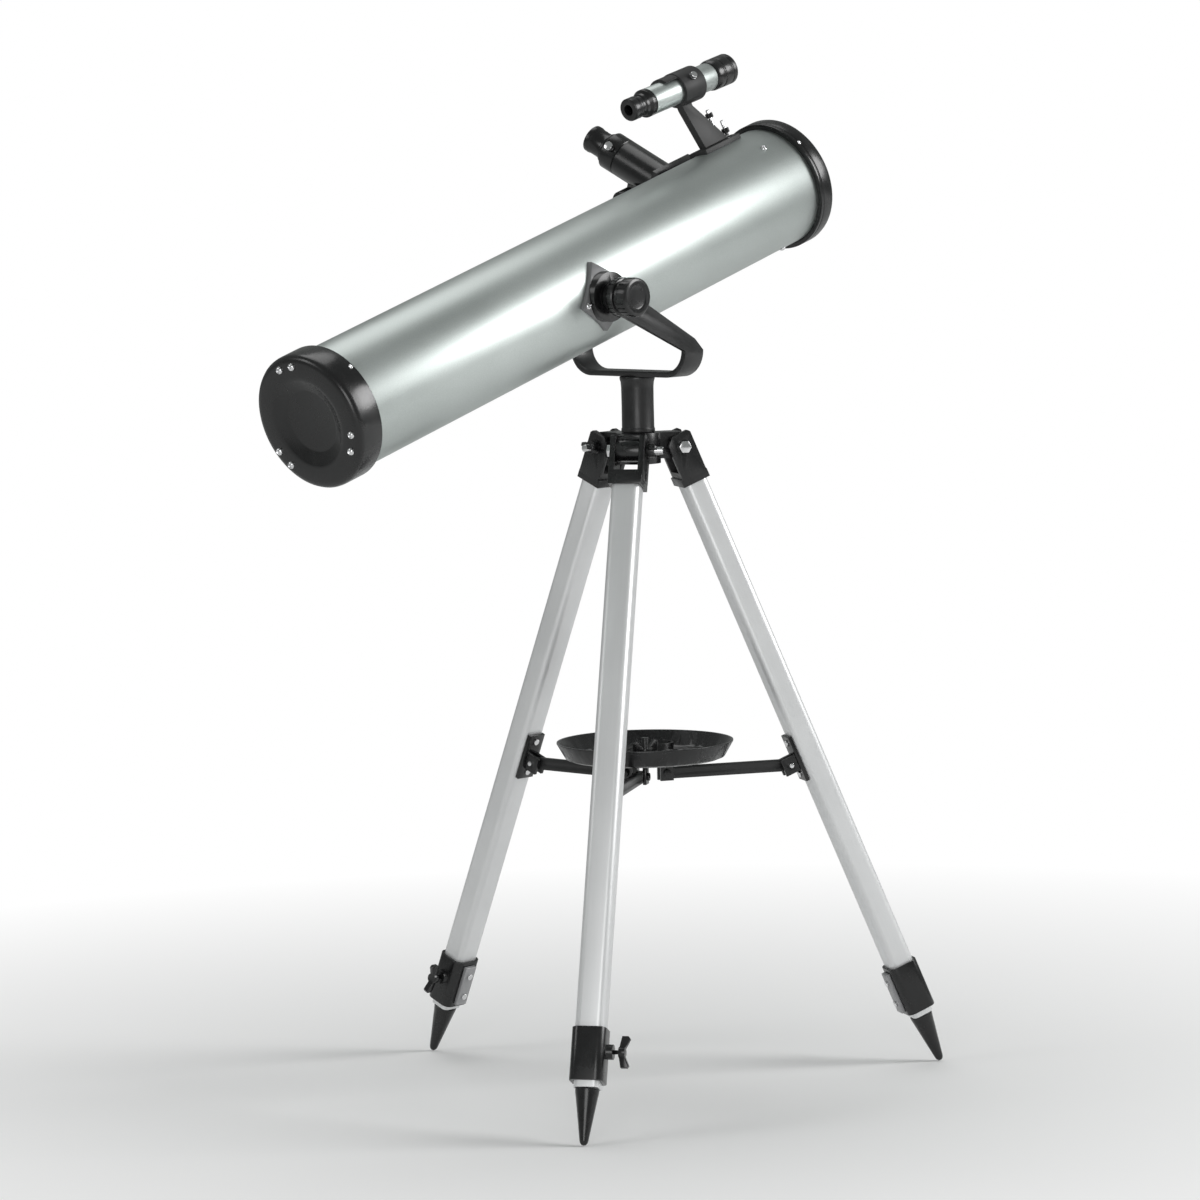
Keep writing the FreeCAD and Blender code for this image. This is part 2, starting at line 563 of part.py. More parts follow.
revolved("finder_eyepiece", [
    ("finder_eye_radius - 2.4", "-finder_tube_rear + 14"),
    ("finder_radius - finder_wall - 0.05", "-finder_tube_rear + 14"),
    ("finder_radius - finder_wall - 0.05", "-finder_tube_rear - 0.5"),
    ("finder_radius + 0.2", "-finder_tube_rear - 0.5"),
    ("finder_radius + 0.2", "-finder_tube_rear - 5"), ("finder_eye_radius", "-finder_tube_rear - 7"),
    ("finder_eye_radius", "-finder_eye_step + 3"), ("finder_eye_radius - 1.1", "-finder_eye_step + 2"),
    ("finder_eye_radius - 1.1", "-finder_eye_step - 1"), ("finder_eye_radius", "-finder_eye_step - 2"),
    ("finder_eye_radius", "-finder_eye_end + 0.8"), ("finder_eye_radius - 0.8", "-finder_eye_end"),
    ("4.5", "-finder_eye_end"), ("4.5", "-finder_eye_end + 6"),
    ("finder_eye_radius - 2.4", "-finder_eye_step - 1")], place=FINDER)

# ---------------------------------------------------------------------------
# Trunnion brackets, altitude knobs and yoke
# ---------------------------------------------------------------------------
TRUNNION_SCREW_OUT = 23.0
for hand, clock in (("right", -90), ("left", 90)):
    frame = off_tube(0, clock)
    block = box(f"bracket_block_{hand}", "bracket_side", "bracket_side", "30",
                turn(UP, 45) * shift(z=28))
    skin = cylinder(f"bracket_skin_{hand}", "bracket_outer", "120", TUBE_CORE)
    plate = common(f"bracket_plate_{hand}", block, skin)
    boss = cylinder(f"bracket_boss_{hand}", "boss_radius", "boss_face - 40", shift(z=40))
    space = cylinder(f"bracket_space_{hand}", "tube_radius + fit_gap", "120", TUBE_CORE)
    stud_hole = cylinder(f"bracket_hole_{hand}", "stud_radius + running_gap", "40", shift(z=30))
    cut(f"trunnion_bracket_{hand}", fuse(f"bracket_solid_{hand}", plate, boss), space, stud_hole,
        place=frame)
    for side in (-1, 1):
        tube_screws.append(cylinder(
            f"bracket_screw_{hand}_{side + 1}", "2.8", "1.8",
            frame * shift(x=side * TRUNNION_SCREW_OUT, z=size("bracket_outer") + 0.05)))

    stud = cylinder(f"knob_stud_{hand}", "stud_radius", "arm_inner + arm_thick - tube_radius - 0.8",
                    shift(z=size("tube_radius") + 1.2))
    grip = revolved(f"knob_grip_{hand}", [
        ("0", "arm_inner + arm_thick + 0.2"), ("12", "arm_inner + arm_thick + 0.2"),
        ("12", "arm_inner + arm_thick + 1.6"), ("knob_radius", "arm_inner + arm_thick + 3"),
        ("knob_radius", "knob_end - 15"), ("knob_radius - 2.4", "knob_end - 14"),
        ("knob_radius - 2.4", "knob_end - 11.4"), ("knob_radius", "knob_end - 10.4"),
        ("knob_radius", "knob_end - 1.6"), ("knob_radius - 1.6", "knob_end"),
        ("9", "knob_end"), ("8", "knob_end - 1"), ("0", "knob_end - 1")])
    fuse(f"altitude_knob_{hand}", stud, grip, place=frame)
group("tube_screws", *tube_screws)

BEND_LEVEL = size("yoke_bottom") + size("yoke_bend")
BEND_SIDE = size("arm_inner") + size("arm_thick") - size("yoke_bend")
yoke_parts = [box("yoke_base", "arm_width", "2 * (arm_inner + arm_thick - yoke_bend)", "arm_thick",
                  shift(z=size("yoke_bottom")))]
for hand in (-1, 1):
    outer = cylinder(f"bend_outer_{hand + 1}", "yoke_bend", "arm_width", angle=90)
    inner = cylinder(f"bend_inner_{hand + 1}", "yoke_bend - arm_thick", "arm_width", angle=90)
    spin = turn(SIDE, 90, x=-size("arm_width") / 2, y=hand * BEND_SIDE, z=BEND_LEVEL)
    quarter = turn(UP, 0 if hand > 0 else -90)
    yoke_parts.append(cut(f"yoke_bend_{hand + 1}", outer, inner, place=spin * quarter))
    yoke_parts.append(padded(f"yoke_arm_{hand + 1}", [
        ("-arm_width / 2", "yoke_bottom + yoke_bend"), ("arm_width / 2", "yoke_bottom + yoke_bend"),
        ("arm_width / 2 - 10", "yoke_bottom + yoke_bend + 9.7"),
        ("-pivot_back + 0.472 * arm_width / 2", "pivot_height + 0.881 * arm_width / 2"),
        ("-pivot_back - 0.472 * arm_width / 2", "pivot_height - 0.881 * arm_width / 2")],
        "arm_thick", role="XZ_Plane",
        place=shift(y=hand * (size("arm_inner") + size("arm_thick") / 2))))
    yoke_parts.append(cylinder(
        f"arm_end_{hand + 1}", "arm_width / 2", "arm_thick",
        across(hand * size("arm_inner") if hand > 0 else -size("arm_inner") - size("arm_thick"),
               x=-size("pivot_back"), z=size("pivot_height"))))
yoke_holes = [cylinder("yoke_pivot_way", "stud_radius + running_gap", "160",
                       across(-80, x=-size("pivot_back"), z=size("pivot_height"))),
              cylinder("yoke_column_way", "8 + running_gap", "20",
                       shift(z=size("yoke_bottom") - 5))]
cut("yoke", fuse("yoke_solid", *yoke_parts), *yoke_holes)

revolved("azimuth_column", [
    ("0", "head_low + 1"), ("spindle_radius", "head_low + 1"), ("spindle_radius", "column_bottom"),
    ("column_radius + 0.4", "column_bottom"), ("column_radius", "column_bottom + 4"),
    ("column_radius - 0.2", "yoke_bottom - 8"), ("column_radius + 1", "yoke_bottom - 0.1"),
    ("8", "yoke_bottom - 0.1"), ("8", "yoke_bottom + arm_thick - 0.1"),
    ("0", "yoke_bottom + arm_thick - 0.1")])

# ---------------------------------------------------------------------------
# Tripod head, legs, spreader and tray
# ---------------------------------------------------------------------------
head_parts = [cylinder("head_core", "head_radius", "head_high - head_low",
                       shift(z=size("head_low")))]
head_ways = [cylinder("spindle_way", "spindle_radius + running_gap", "60",
                      shift(z=size("head_low") - 10))]
LEAN = math.radians(size("leg_lean"))
HINGE_OUT = (size("foot_circle") - size("pivot_station") * math.sin(LEAN)
             + size("pivot_out") * math.cos(LEAN))
HINGE_LEVEL = (size("foot_round") + size("pivot_station") * math.cos(LEAN)
               + size("pivot_out") * math.sin(LEAN))
bolts = []
for angle in SPREAD:
    heading = leg_heading(angle)
    head_parts.append(box(f"lug_block_{angle}", f"{HINGE_OUT}", "lug_width", "21.3",
                          heading * shift(x=HINGE_OUT / 2, z=size("head_high") - 21.3)))
    head_parts.append(cylinder(f"lug_end_{angle}", "lug_radius", "lug_width",
                               heading * across(-size("lug_width") / 2, x=HINGE_OUT, z=HINGE_LEVEL)))
    head_ways.append(cylinder(f"lug_way_{angle}", "bolt_radius", "lug_width + 2",
                              heading * across(-size("lug_width") / 2 - 1, x=HINGE_OUT,
                                               z=HINGE_LEVEL)))
    start = -size("cheek_outer") - 0.2
    shank = cylinder(f"bolt_shank_{angle}", "bolt_radius", "cheek_outer + 28",
                     heading * across(start, x=HINGE_OUT, z=HINGE_LEVEL))
    cap = padded(f"bolt_head_{angle}", hexagon("5.4"), "3.6",
                 place=heading * across(start - 1.7, x=HINGE_OUT, z=HINGE_LEVEL))
    bolts.append(fuse(f"leg_bolt_{angle}", shank, cap))
cut("tripod_head", fuse("head_solid", *head_parts), *head_ways)
group("leg_pivot_bolts", *bolts)


def wing_outline(reach, base, high):
    """Bow-tie of a wing screw: across the wings, and along its axis."""
    return [(f"-{reach}", f"{high} - 1.4"), (f"-{reach} + 2", f"{high}"), ("-3", f"{base} + 4.4"),
            ("3", f"{base} + 4.4"), (f"{reach} - 2", f"{high}"), (f"{reach}", f"{high} - 1.4"),
            (f"{reach}", f"{base} + 1.6"), ("5", f"{base}"), ("-5", f"{base}"),
            (f"-{reach}", f"{base} + 1.6")]


for number, angle in enumerate(SPREAD, start=1):
    leg = along_leg(angle)
    cut(f"leg_channel_{number}",
        rounded_bar(f"channel_outside_{number}", "leg_depth", "leg_width", "leg_corner",
                    "leg_bottom", "leg_top"),
        rounded_bar(f"channel_inside_{number}", "leg_depth - 2 * leg_wall",
                    "leg_width - 2 * leg_wall", "leg_corner - leg_wall",
                    "leg_bottom - 1", "leg_top + 1"),
        cylinder(f"channel_way_{number}", "clamp_stud + running_gap", "30",
                 across(5, z=size("clamp_station"))), place=leg)

    block = box(f"head_block_{number}", "cheek_front + cheek_back", "2 * cheek_outer",
                "block_top - leg_top - 0.2",
                shift(x=(size("cheek_front") - size("cheek_back")) / 2, z=size("leg_top") + 0.2))
    skirt = cut(f"head_skirt_{number}",
                box(f"skirt_block_{number}", "leg_depth + 3", "leg_width + 4", "7",
                    shift(z=size("leg_top") - 5)),
                rounded_bar(f"skirt_space_{number}", "leg_depth + 0.2", "leg_width + 0.2",
                            "leg_corner", "leg_top - 8", "leg_top + 0.1"))
    plug = rounded_bar(f"head_plug_{number}", "inner_depth", "inner_width", "inner_corner",
                       "leg_top - 18", "leg_top + 2")
    cheeks = []
    for side in (-1, 1):
        cheeks.append(padded(f"cheek_{number}_{side + 1}", [
            ("-cheek_back", "block_top - 2"), ("cheek_front", "block_top - 2"),
            ("cheek_front", "cheek_top - 2"), ("cheek_front - 2", "cheek_top"),
            ("-cheek_back + 6", "cheek_top"), ("-cheek_back", "cheek_top - 6")],
            "cheek_thick", role="XZ_Plane",
            place=shift(y=side * (size("cheek_outer") - size("cheek_thick") / 2))))
    pin_way = cylinder(f"head_pin_way_{number}", "bolt_radius + running_gap", "60",
                       across(-30, x=size("pivot_out"), z=size("pivot_station")))
    cut(f"leg_head_{number}", fuse(f"head_solid_{number}", block, skirt, plug, *cheeks), pin_way,
        place=leg)

    nut_start = size("cheek_outer") + 0.4
    nut = fuse(f"wing_nut_solid_{number}",
               cylinder(f"wing_nut_core_{number}", "5.6", "6.4", shift(z=nut_start)),
               padded(f"wing_nut_wings_{number}", wing_outline(8.6, nut_start + 1.6, nut_start + 9.4),
                      "2.6", role="XZ_Plane"))
    cut(f"leg_wing_nut_{number}", nut,
        cylinder(f"wing_nut_way_{number}", "bolt_radius + running_gap", "40"),
        place=leg * across(0, x=size("pivot_out"), z=size("pivot_station")))

    sleeve = cut(f"collar_solid_{number}",
                 fuse(f"collar_outside_{number}",
                      rounded_bar(f"collar_bar_{number}", "collar_depth", "collar_width",
                                  "leg_corner + 1", "collar_bottom", "collar_top"),
                      cylinder(f"collar_boss_{number}", "6", "9",
                               across(10, z=size("clamp_station")))),
                 rounded_bar(f"collar_seat_{number}", "leg_depth + 0.2", "leg_width + 0.2",
                             "leg_corner", "leg_bottom - 0.1", "collar_top + 1"),
                 rounded_bar(f"collar_throat_{number}", "inner_depth + 0.6", "inner_width + 0.6",
                             "inner_corner", "collar_bottom - 1", "leg_bottom + 1"),
                 cylinder(f"collar_way_{number}", "clamp_stud + running_gap", "30",
                          across(5, z=size("clamp_station"))))
    clamp_plate = box(f"clamp_plate_{number}", "3.4", "12", "36",
                      shift(x=-size("collar_depth") / 2 - 1.8, z=size("collar_bottom") + 3))
    plate_screws = [cylinder(f"clamp_screw_{number}_{station}", "2.7", "1.5",
                             turn(SIDE, -90, x=-size("collar_depth") / 2 - 3.55, z=station))
                    for station in (58, 77)]
    bracket_base = box(f"strut_base_{number}", "3", "18", "40",
                       shift(x=-size("leg_depth") / 2 - 1.6, z=size("strut_station") - 17))
    ears = [box(f"strut_ear_{number}_{side + 1}", "14", "3", "14",
                shift(x=-size("strut_in"), y=side * 3.9, z=size("strut_station") - 7))
            for side in (-1, 1)]
    ear_way = cylinder(f"ear_way_{number}", "strut_pin", "40",
                       across(-20, x=-size("strut_in"), z=size("strut_station")))
    bracket = cut(f"strut_bracket_{number}",
                  fuse(f"strut_bracket_solid_{number}", bracket_base, *ears), ear_way)
    pin = cylinder(f"strut_pin_{number}", "strut_pin", "14",
                   across(-7, x=-size("strut_in"), z=size("strut_station")))
    base_screws = [cylinder(f"base_screw_{number}_{side + 1}", "2.7", "1.5",
                            turn(SIDE, -90, x=-size("leg_depth") / 2 - 3.15,
                                 z=size("strut_station") + 3 + side * 14))
                   for side in (-1, 1)]
    group(f"leg_fittings_{number}", sleeve, clamp_plate, *plate_screws, bracket, pin,
          *base_screws, place=leg)

    foot = fuse(f"foot_{number}",
                sphere(f"foot_ball_{number}", "foot_round"),
                cone(f"foot_cone_{number}", "foot_round - 0.05", "foot_radius",
                     "foot_top - 0.4"),
                rounded_bar(f"foot_plug_{number}", "inner_depth - 2.8", "inner_width - 2.8",
                            "inner_corner - 1.4", "foot_top - 1", "foot_top + 18"))
    inner = cut(f"inner_tube_{number}",
                rounded_bar(f"inner_outside_{number}", "inner_depth", "inner_width",
                            "inner_corner", "inner_bottom", "inner_top"),
                rounded_bar(f"inner_inside_{number}", "inner_depth - 2.4", "inner_width - 2.4",
                            "inner_corner - 1.2", "inner_bottom - 1", "inner_top + 1"))
    group(f"inner_leg_{number}", foot, inner, place=leg)

    stud_start = size("inner_width") / 2 + 0.35
    knob = fuse(f"knob_solid_{number}",
                cylinder(f"knob_stud_{number}", "clamp_stud", f"25 - {stud_start}",
                         shift(z=stud_start)),
                cylinder(f"knob_core_{number}", "4.4", "5", shift(z=23.4)),
                padded(f"knob_wings_{number}", wing_outline(12.6, 24, 32), "4.4",
                       role="XZ_Plane"))
    group(f"leg_lock_knob_{number}", knob,
          place=leg * across(0, z=size("clamp_station")) * turn(UP, 90))

# Struts and spreader hub: each strut is a flat bar between a leg and the hub.
STRUT_OUT = (size("foot_circle") - size("strut_station") * math.sin(LEAN)
             - size("strut_in") * math.cos(LEAN))
STRUT_LEVEL = (size("foot_round") + size("strut_station") * math.cos(LEAN)
               - size("strut_in") * math.sin(LEAN))
STRUT_LONG = STRUT_OUT - size("hub_pivot")
hub_parts = [cylinder("hub_plate", "hub_pivot + 6", "3.4", shift(z=size("hub_level") + 9))]
hub_pieces = []
for number, angle in enumerate(SPREAD, start=1):
    heading = leg_heading(angle)
    middle = size("hub_pivot") + STRUT_LONG / 2
    strut_bar = box(f"strut_bar_{number}", f"{STRUT_LONG}", "strut_thick", "strut_height",
                    shift(x=middle, z=STRUT_LEVEL - size("strut_height") / 2))
    ends = [cylinder(f"strut_end_{number}_{side}", "strut_height / 2", "strut_thick",
                     across(-size("strut_thick") / 2, x=reach, z=STRUT_LEVEL))
            for side, reach in enumerate((size("hub_pivot"), STRUT_OUT))]
    pin_hole = cylinder(f"strut_hole_{number}", "strut_pin + running_gap", "20",
                        across(-10, x=STRUT_OUT, z=STRUT_LEVEL))
    hub_hole = cylinder(f"strut_eye_{number}", "strut_pin", "20",
                        across(-10, x=size("hub_pivot"), z=STRUT_LEVEL))
    cut(f"strut_{number}", fuse(f"strut_solid_{number}", strut_bar, *ends), pin_hole, hub_hole,
        place=heading)
    for side in (-1, 1):
        hub_parts.append(box(f"hub_ear_{number}_{side + 1}", "11", "2.8", "15.4",
                             heading * shift(x=size("hub_pivot"), y=side * 3.9,
                                             z=size("hub_level") - 6)))
        reach = 5.35 if side > 0 else -7.15
        hub_pieces.append(cylinder(f"hub_rivet_{number}_{side + 1}", "3.2", "1.8",
                                   heading * across(reach, x=size("hub_pivot"),
                                                    z=size("hub_level"))))
hub_stud = cylinder("hub_stud", "bolt_radius", "20", shift(z=size("hub_level") + 10))
group("spreader_hub", fuse("hub_solid", *hub_parts, hub_stud), *hub_pieces)

tray_dish = revolved("tray_dish", [
    ("bolt_radius + running_gap", "tray_base"), ("tray_radius - 11", "tray_base"),
    ("tray_radius - 7", "tray_base + 1.6"), ("tray_radius", "tray_rim - 1"),
    ("tray_radius", "tray_rim"), ("tray_radius - tray_wall", "tray_rim"),
    ("tray_radius - 8.8", "tray_base + 3.4"), ("tray_radius - 11.4", "tray_base + tray_wall"),
    ("bolt_radius + running_gap", "tray_base + tray_wall")])
pockets = []
for angle in SPREAD:
    ring = cut(f"pocket_{angle + 30}",
               cylinder(f"pocket_outside_{angle + 30}", "15.5", "7"),
               cylinder(f"pocket_inside_{angle + 30}", "13.8", "9", shift(z=-1)),
               place=leg_heading(angle + 60) * shift(x=38, z=size("tray_base") + 1.5))
    pockets.append(ring)
fuse("accessory_tray", tray_dish, *pockets)

tray_nut_low = size("tray_base") + size("tray_wall") + 0.3
cut("tray_wing_nut",
    fuse("tray_nut_solid",
         cylinder("tray_nut_core", "7", "6", shift(z=tray_nut_low)),
         padded("tray_nut_wings", wing_outline(13, tray_nut_low + 1.4, tray_nut_low + 12), "3",
                role="XZ_Plane")),
    cylinder("tray_nut_way", "bolt_radius + running_gap", "60", shift(z=size("hub_level"))))

# ---------------------------------------------------------------------------
# Check and export
# ---------------------------------------------------------------------------
NODES = (["main_tube", "rear_cell", "mirror_carrier", "primary_mirror", "mirror_clips",
          "cell_springs", "cell_lock_screws", "front_ring", "spider", "tube_screws",
          "secondary_holder", "secondary_mirror", "focuser_housing", "focuser_drawtube",
          "pinion_shaft", "focus_knob", "eyepiece_thumbscrew", "eyepiece", "finder_bracket",
          "finder_tube", "finder_objective", "finder_eyepiece", "trunnion_bracket_right",
          "trunnion_bracket_left", "altitude_knob_right", "altitude_knob_left", "yoke",
          "azimuth_column", "tripod_head", "leg_pivot_bolts", "spreader_hub", "accessory_tray",
          "tray_wing_nut", "finder_screw_1", "finder_screw_2"]
         + [f"{name}_{number}" for name in ("collimation_screw", "leg_channel", "leg_head",
                                            "leg_wing_nut", "leg_fittings", "inner_leg",
                                            "leg_lock_knob", "strut")
            for number in (1, 2, 3)])

doc.recompute()
failed = [item.Name for item in doc.Objects if {"Invalid", "Error"} & set(item.State)]
if failed:
    raise RuntimeError(f"objects that failed: {failed}")
os.makedirs("parts", exist_ok=True)
print(f"struts: {STRUT_LONG:.3f} long, leg pivot ({HINGE_OUT:.3f}, {HINGE_LEVEL:.3f}), "
      f"strut pivot ({STRUT_OUT:.3f}, {STRUT_LEVEL:.3f})")
for name in NODES:
    node = doc.getObjectsByLabel(name)[0]
    shape = node.Shape
    if shape.isNull() or not shape.isValid():
        raise RuntimeError(f"{name} has no valid shape")
    shape.exportStep(f"parts/{name}.step")
    print(f"{name:26s} solids {len(shape.Solids):2d}  volume {shape.Volume:10.1f}")
print(f"{len(NODES)} nodes")
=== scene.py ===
import json
import math

import bmesh
import bpy
from mathutils import Matrix, Vector


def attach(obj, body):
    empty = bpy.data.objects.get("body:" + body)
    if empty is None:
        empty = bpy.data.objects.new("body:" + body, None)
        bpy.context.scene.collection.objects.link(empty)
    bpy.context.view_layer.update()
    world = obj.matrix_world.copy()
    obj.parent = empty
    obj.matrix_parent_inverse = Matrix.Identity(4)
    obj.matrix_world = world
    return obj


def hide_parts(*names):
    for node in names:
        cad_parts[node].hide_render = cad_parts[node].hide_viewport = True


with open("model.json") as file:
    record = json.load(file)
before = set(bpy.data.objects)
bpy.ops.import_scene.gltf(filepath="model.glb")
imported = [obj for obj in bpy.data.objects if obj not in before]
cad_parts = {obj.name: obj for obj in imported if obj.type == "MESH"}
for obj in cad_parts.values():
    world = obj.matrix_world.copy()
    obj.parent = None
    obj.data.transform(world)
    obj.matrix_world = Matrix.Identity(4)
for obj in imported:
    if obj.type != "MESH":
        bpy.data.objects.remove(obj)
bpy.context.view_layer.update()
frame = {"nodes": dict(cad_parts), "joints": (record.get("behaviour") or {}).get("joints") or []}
joints = {joint["name"]: joint for joint in frame["joints"]}

# ----------------------------------------------------------------------------
# Optical tube.  A rolled sheet-metal tube with a satin silver-grey paint that
# carries fine metal flakes.  It is a round shell with the focuser's hole.
# ----------------------------------------------------------------------------
MM = 0.001


class Wire:
    """A shader value; sums and products of it become Math nodes."""

    def __init__(self, socket):
        self.socket = socket

    def node(self, kind, settings=None, values=None, out=0):
        tree = self.socket.id_data
        made = tree.nodes.new(kind)
        for key, value in (settings or {}).items():
            setattr(made, key, value)
        for key, value in (values or {}).items():
            if isinstance(value, Wire):
                tree.links.new(value.socket, made.inputs[key])
            else:
                made.inputs[key].default_value = value
        return Wire(made.outputs[out])

    def maths(self, operation, first, second):
        return self.node("ShaderNodeMath", {"operation": operation}, {0: first, 1: second})

    def __add__(self, other):
        return self.maths("ADD", self, other)

    def __mul__(self, other):
        return self.maths("MULTIPLY", self, other)

    __radd__ = __add__
    __rmul__ = __mul__

    def noise(self, scale, detail=3.0, roughness=0.5):
        return self.node("ShaderNodeTexNoise", {}, {"Vector": self, "Scale": scale,
                                                    "Detail": detail, "Roughness": roughness})

    def blend(self, low, high):
        """Colour between two colours, by this value."""
        return self.node("ShaderNodeMix", {"data_type": "RGBA"}, {0: self, 6: low, 7: high}, 2)

    def fit(self, low, high):
        """This value's range from low to high stretched to 0 to 1."""
        return self.node("ShaderNodeMapRange", {}, {"Value": self, "From Min": low,
                                                    "From Max": high})


def new_finish(name):
    """An empty material, its shader and the place on the piece in metres."""
    material = bpy.data.materials.new(name)
    material.use_nodes = True
    shader = material.node_tree.nodes["Principled BSDF"]
    coordinates = material.node_tree.nodes.new("ShaderNodeTexCoord")
    return material, shader, Wire(coordinates.outputs["Object"])


def give(shader, **inputs):
    """Sets or links the shader's inputs; underscores stand for spaces."""
    for name, value in inputs.items():
        socket = shader.inputs[name.replace("_", " ")]
        if isinstance(value, Wire):
            shader.id_data.links.new(value.socket, socket)
        else:
            socket.default_value = value


def bumped(place, height, strength, distance):
    return place.node("ShaderNodeBump", {}, {"Strength": strength, "Distance": distance,
                                             "Height": height})


def silver_paint():
    material, shader, place = new_finish("silver_paint")
    flakes = place.noise(1600, 2).fit(0.35, 0.65)
    drift = place.noise(9, 3).fit(0.3, 0.7)
    tone = (flakes * 0.45 + drift * 0.35).blend((0.46, 0.50, 0.485, 1), (0.62, 0.66, 0.645, 1))
    peel = place.noise(420, 2)
    give(shader, Base_Color=tone, Metallic=0.9, Roughness=0.37 + 0.09 * flakes + 0.04 * drift,
         Normal=bumped(place, peel, 0.05, 0.0002), Coat_Weight=0.12, Coat_Roughness=0.2)
    return material


def frame_at(origin, z_axis, x_axis):
    """Matrix of a piece's own frame."""
    z_axis = Vector(z_axis).normalized()
    x_axis = (Vector(x_axis) - z_axis * z_axis.dot(Vector(x_axis))).normalized()
    turned_by = Matrix((x_axis, z_axis.cross(x_axis), z_axis)).transposed()
    return Matrix.Translation(origin) @ turned_by.to_4x4()


def moved(x=0.0, y=0.0, z=0.0):
    return Matrix.Translation((x * MM, y * MM, z * MM))


def spun(degrees, axis="Z"):
    return Matrix.Rotation(math.radians(degrees), 4, axis)


def apply_all(piece):
    """Applies every modifier of a piece, in order."""
    bpy.context.view_layer.objects.active = piece
    for modifier in list(piece.modifiers):
        bpy.ops.object.modifier_apply(modifier=modifier.name)


def ease_edges(piece, width, segments=2, angle=32):
    """Rounds the sharp edges of a piece by a width in millimetres."""
    bevel = piece.modifiers.new("eased", "BEVEL")
    bevel.width = width * MM
    bevel.segments = segments
    bevel.limit_method = "ANGLE"
    bevel.angle_limit = math.radians(angle)
    bevel.harden_normals = False
    apply_all(piece)


def settle(piece, name, place, material, body, *nodes, smooth=32):
    """Names a piece, puts its place in its mesh and hands it to its body."""
    piece.name = name
    piece.data.name = name
    bpy.ops.object.select_all(action="DESELECT")
    piece.select_set(True)
    bpy.context.view_layer.objects.active = piece
    bpy.ops.object.shade_smooth_by_angle(angle=math.radians(smooth))
    piece.matrix_world = place @ piece.matrix_world
    bpy.ops.object.transform_apply(location=True, rotation=True, scale=True)
    piece.data.materials.clear()
    piece.data.materials.append(material)
    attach(piece, body)
    if nodes:
        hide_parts(*nodes)
    return piece


def start_edit(piece):
    bpy.ops.object.select_all(action="DESELECT")
    piece.select_set(True)
    bpy.context.view_layer.objects.active = piece
    bpy.ops.object.mode_set(mode="EDIT")


def lathe(outline, steps=96, ease=0.25):
    """A turned solid: a point is pulled along the outline and spun round Z."""
    bpy.ops.object.select_all(action="DESELECT")
    bpy.ops.mesh.primitive_plane_add(size=MM)
    piece = bpy.context.object
    bpy.ops.object.mode_set(mode="EDIT")
    bpy.ops.mesh.select_mode(type="VERT")
    bpy.ops.mesh.select_all(action="SELECT")
    bpy.ops.mesh.merge(type="CENTER")
    bpy.ops.transform.translate(value=(outline[0][0] * MM, 0, outline[0][1] * MM))
    for before, after in zip(outline, outline[1:] + outline[:1]):
        step = ((after[0] - before[0]) * MM, 0, (after[1] - before[1]) * MM)
        bpy.ops.mesh.extrude_region_move(TRANSFORM_OT_translate={"value": step})
    bpy.ops.mesh.select_all(action="SELECT")
    bpy.ops.mesh.remove_doubles(threshold=0.00001)
    bpy.ops.mesh.spin(steps=steps, angle=math.tau, center=(0, 0, 0), axis=(0, 0, 1))
    bpy.ops.mesh.select_all(action="SELECT")
    bpy.ops.mesh.remove_doubles(threshold=0.00001)
    bpy.ops.mesh.normals_make_consistent(inside=False)
    bpy.ops.object.mode_set(mode="OBJECT")
    if ease:
        ease_edges(piece, ease)
    return piece


def hollow_out(piece, cutter):
    """Takes a cutter's shape out of a piece and throws the cutter away."""
    cut = piece.modifiers.new("cut", "BOOLEAN")
    cut.object = cutter
    cut.solver = "EXACT"
    apply_all(piece)
    bpy.data.objects.remove(cutter)


pivot = Vector(joints["altitude"]["pos_m"])
tube_axis = -Vector(joints["collimation_turn_1"]["axis"])
tube_up = tube_axis.cross(Vector((0, 1, 0)))


def off_tube(station, clock):
    """Frame on the tube's axis: Z points out at a clock angle, X to the front."""
    angle = math.radians(clock)
    out = tube_up * math.cos(angle) + Vector((0, 1, 0)) * math.sin(angle)
    return frame_at(pivot + tube_axis * station * MM, out, tube_axis)


def on_tube(station):
    """Frame on the tube's axis: Z runs to the front, X points up."""
    return frame_at(pivot + tube_axis * station * MM, tube_axis, tube_up)


FOCUS_STATION, FOCUS_CLOCK = 198.8, 60
silver = silver_paint()
tube = lathe([(48.8, -284.8), (50, -284.8), (50, 286.8), (48.8, 286.8)], steps=160, ease=0.3)
bpy.ops.object.select_all(action="DESELECT")
bpy.ops.mesh.primitive_cylinder_add(radius=15.4 * MM, depth=80 * MM, vertices=64)
drill = bpy.context.object
drill.matrix_world = (on_tube(0).inverted() @ off_tube(FOCUS_STATION, FOCUS_CLOCK)
                      @ moved(z=60))
bpy.context.view_layer.update()
hollow_out(tube, drill)
settle(tube, "optical_tube_shell", on_tube(0), silver, "optical_tube", "main_tube")

# ----------------------------------------------------------------------------
# Rear cell.  A glossy black moulded cap over the tube's end, with a sunk
# round panel.  Three pairs of plated screws tilt the mirror carrier in it.
# ----------------------------------------------------------------------------
REAR_FACE = -293.1


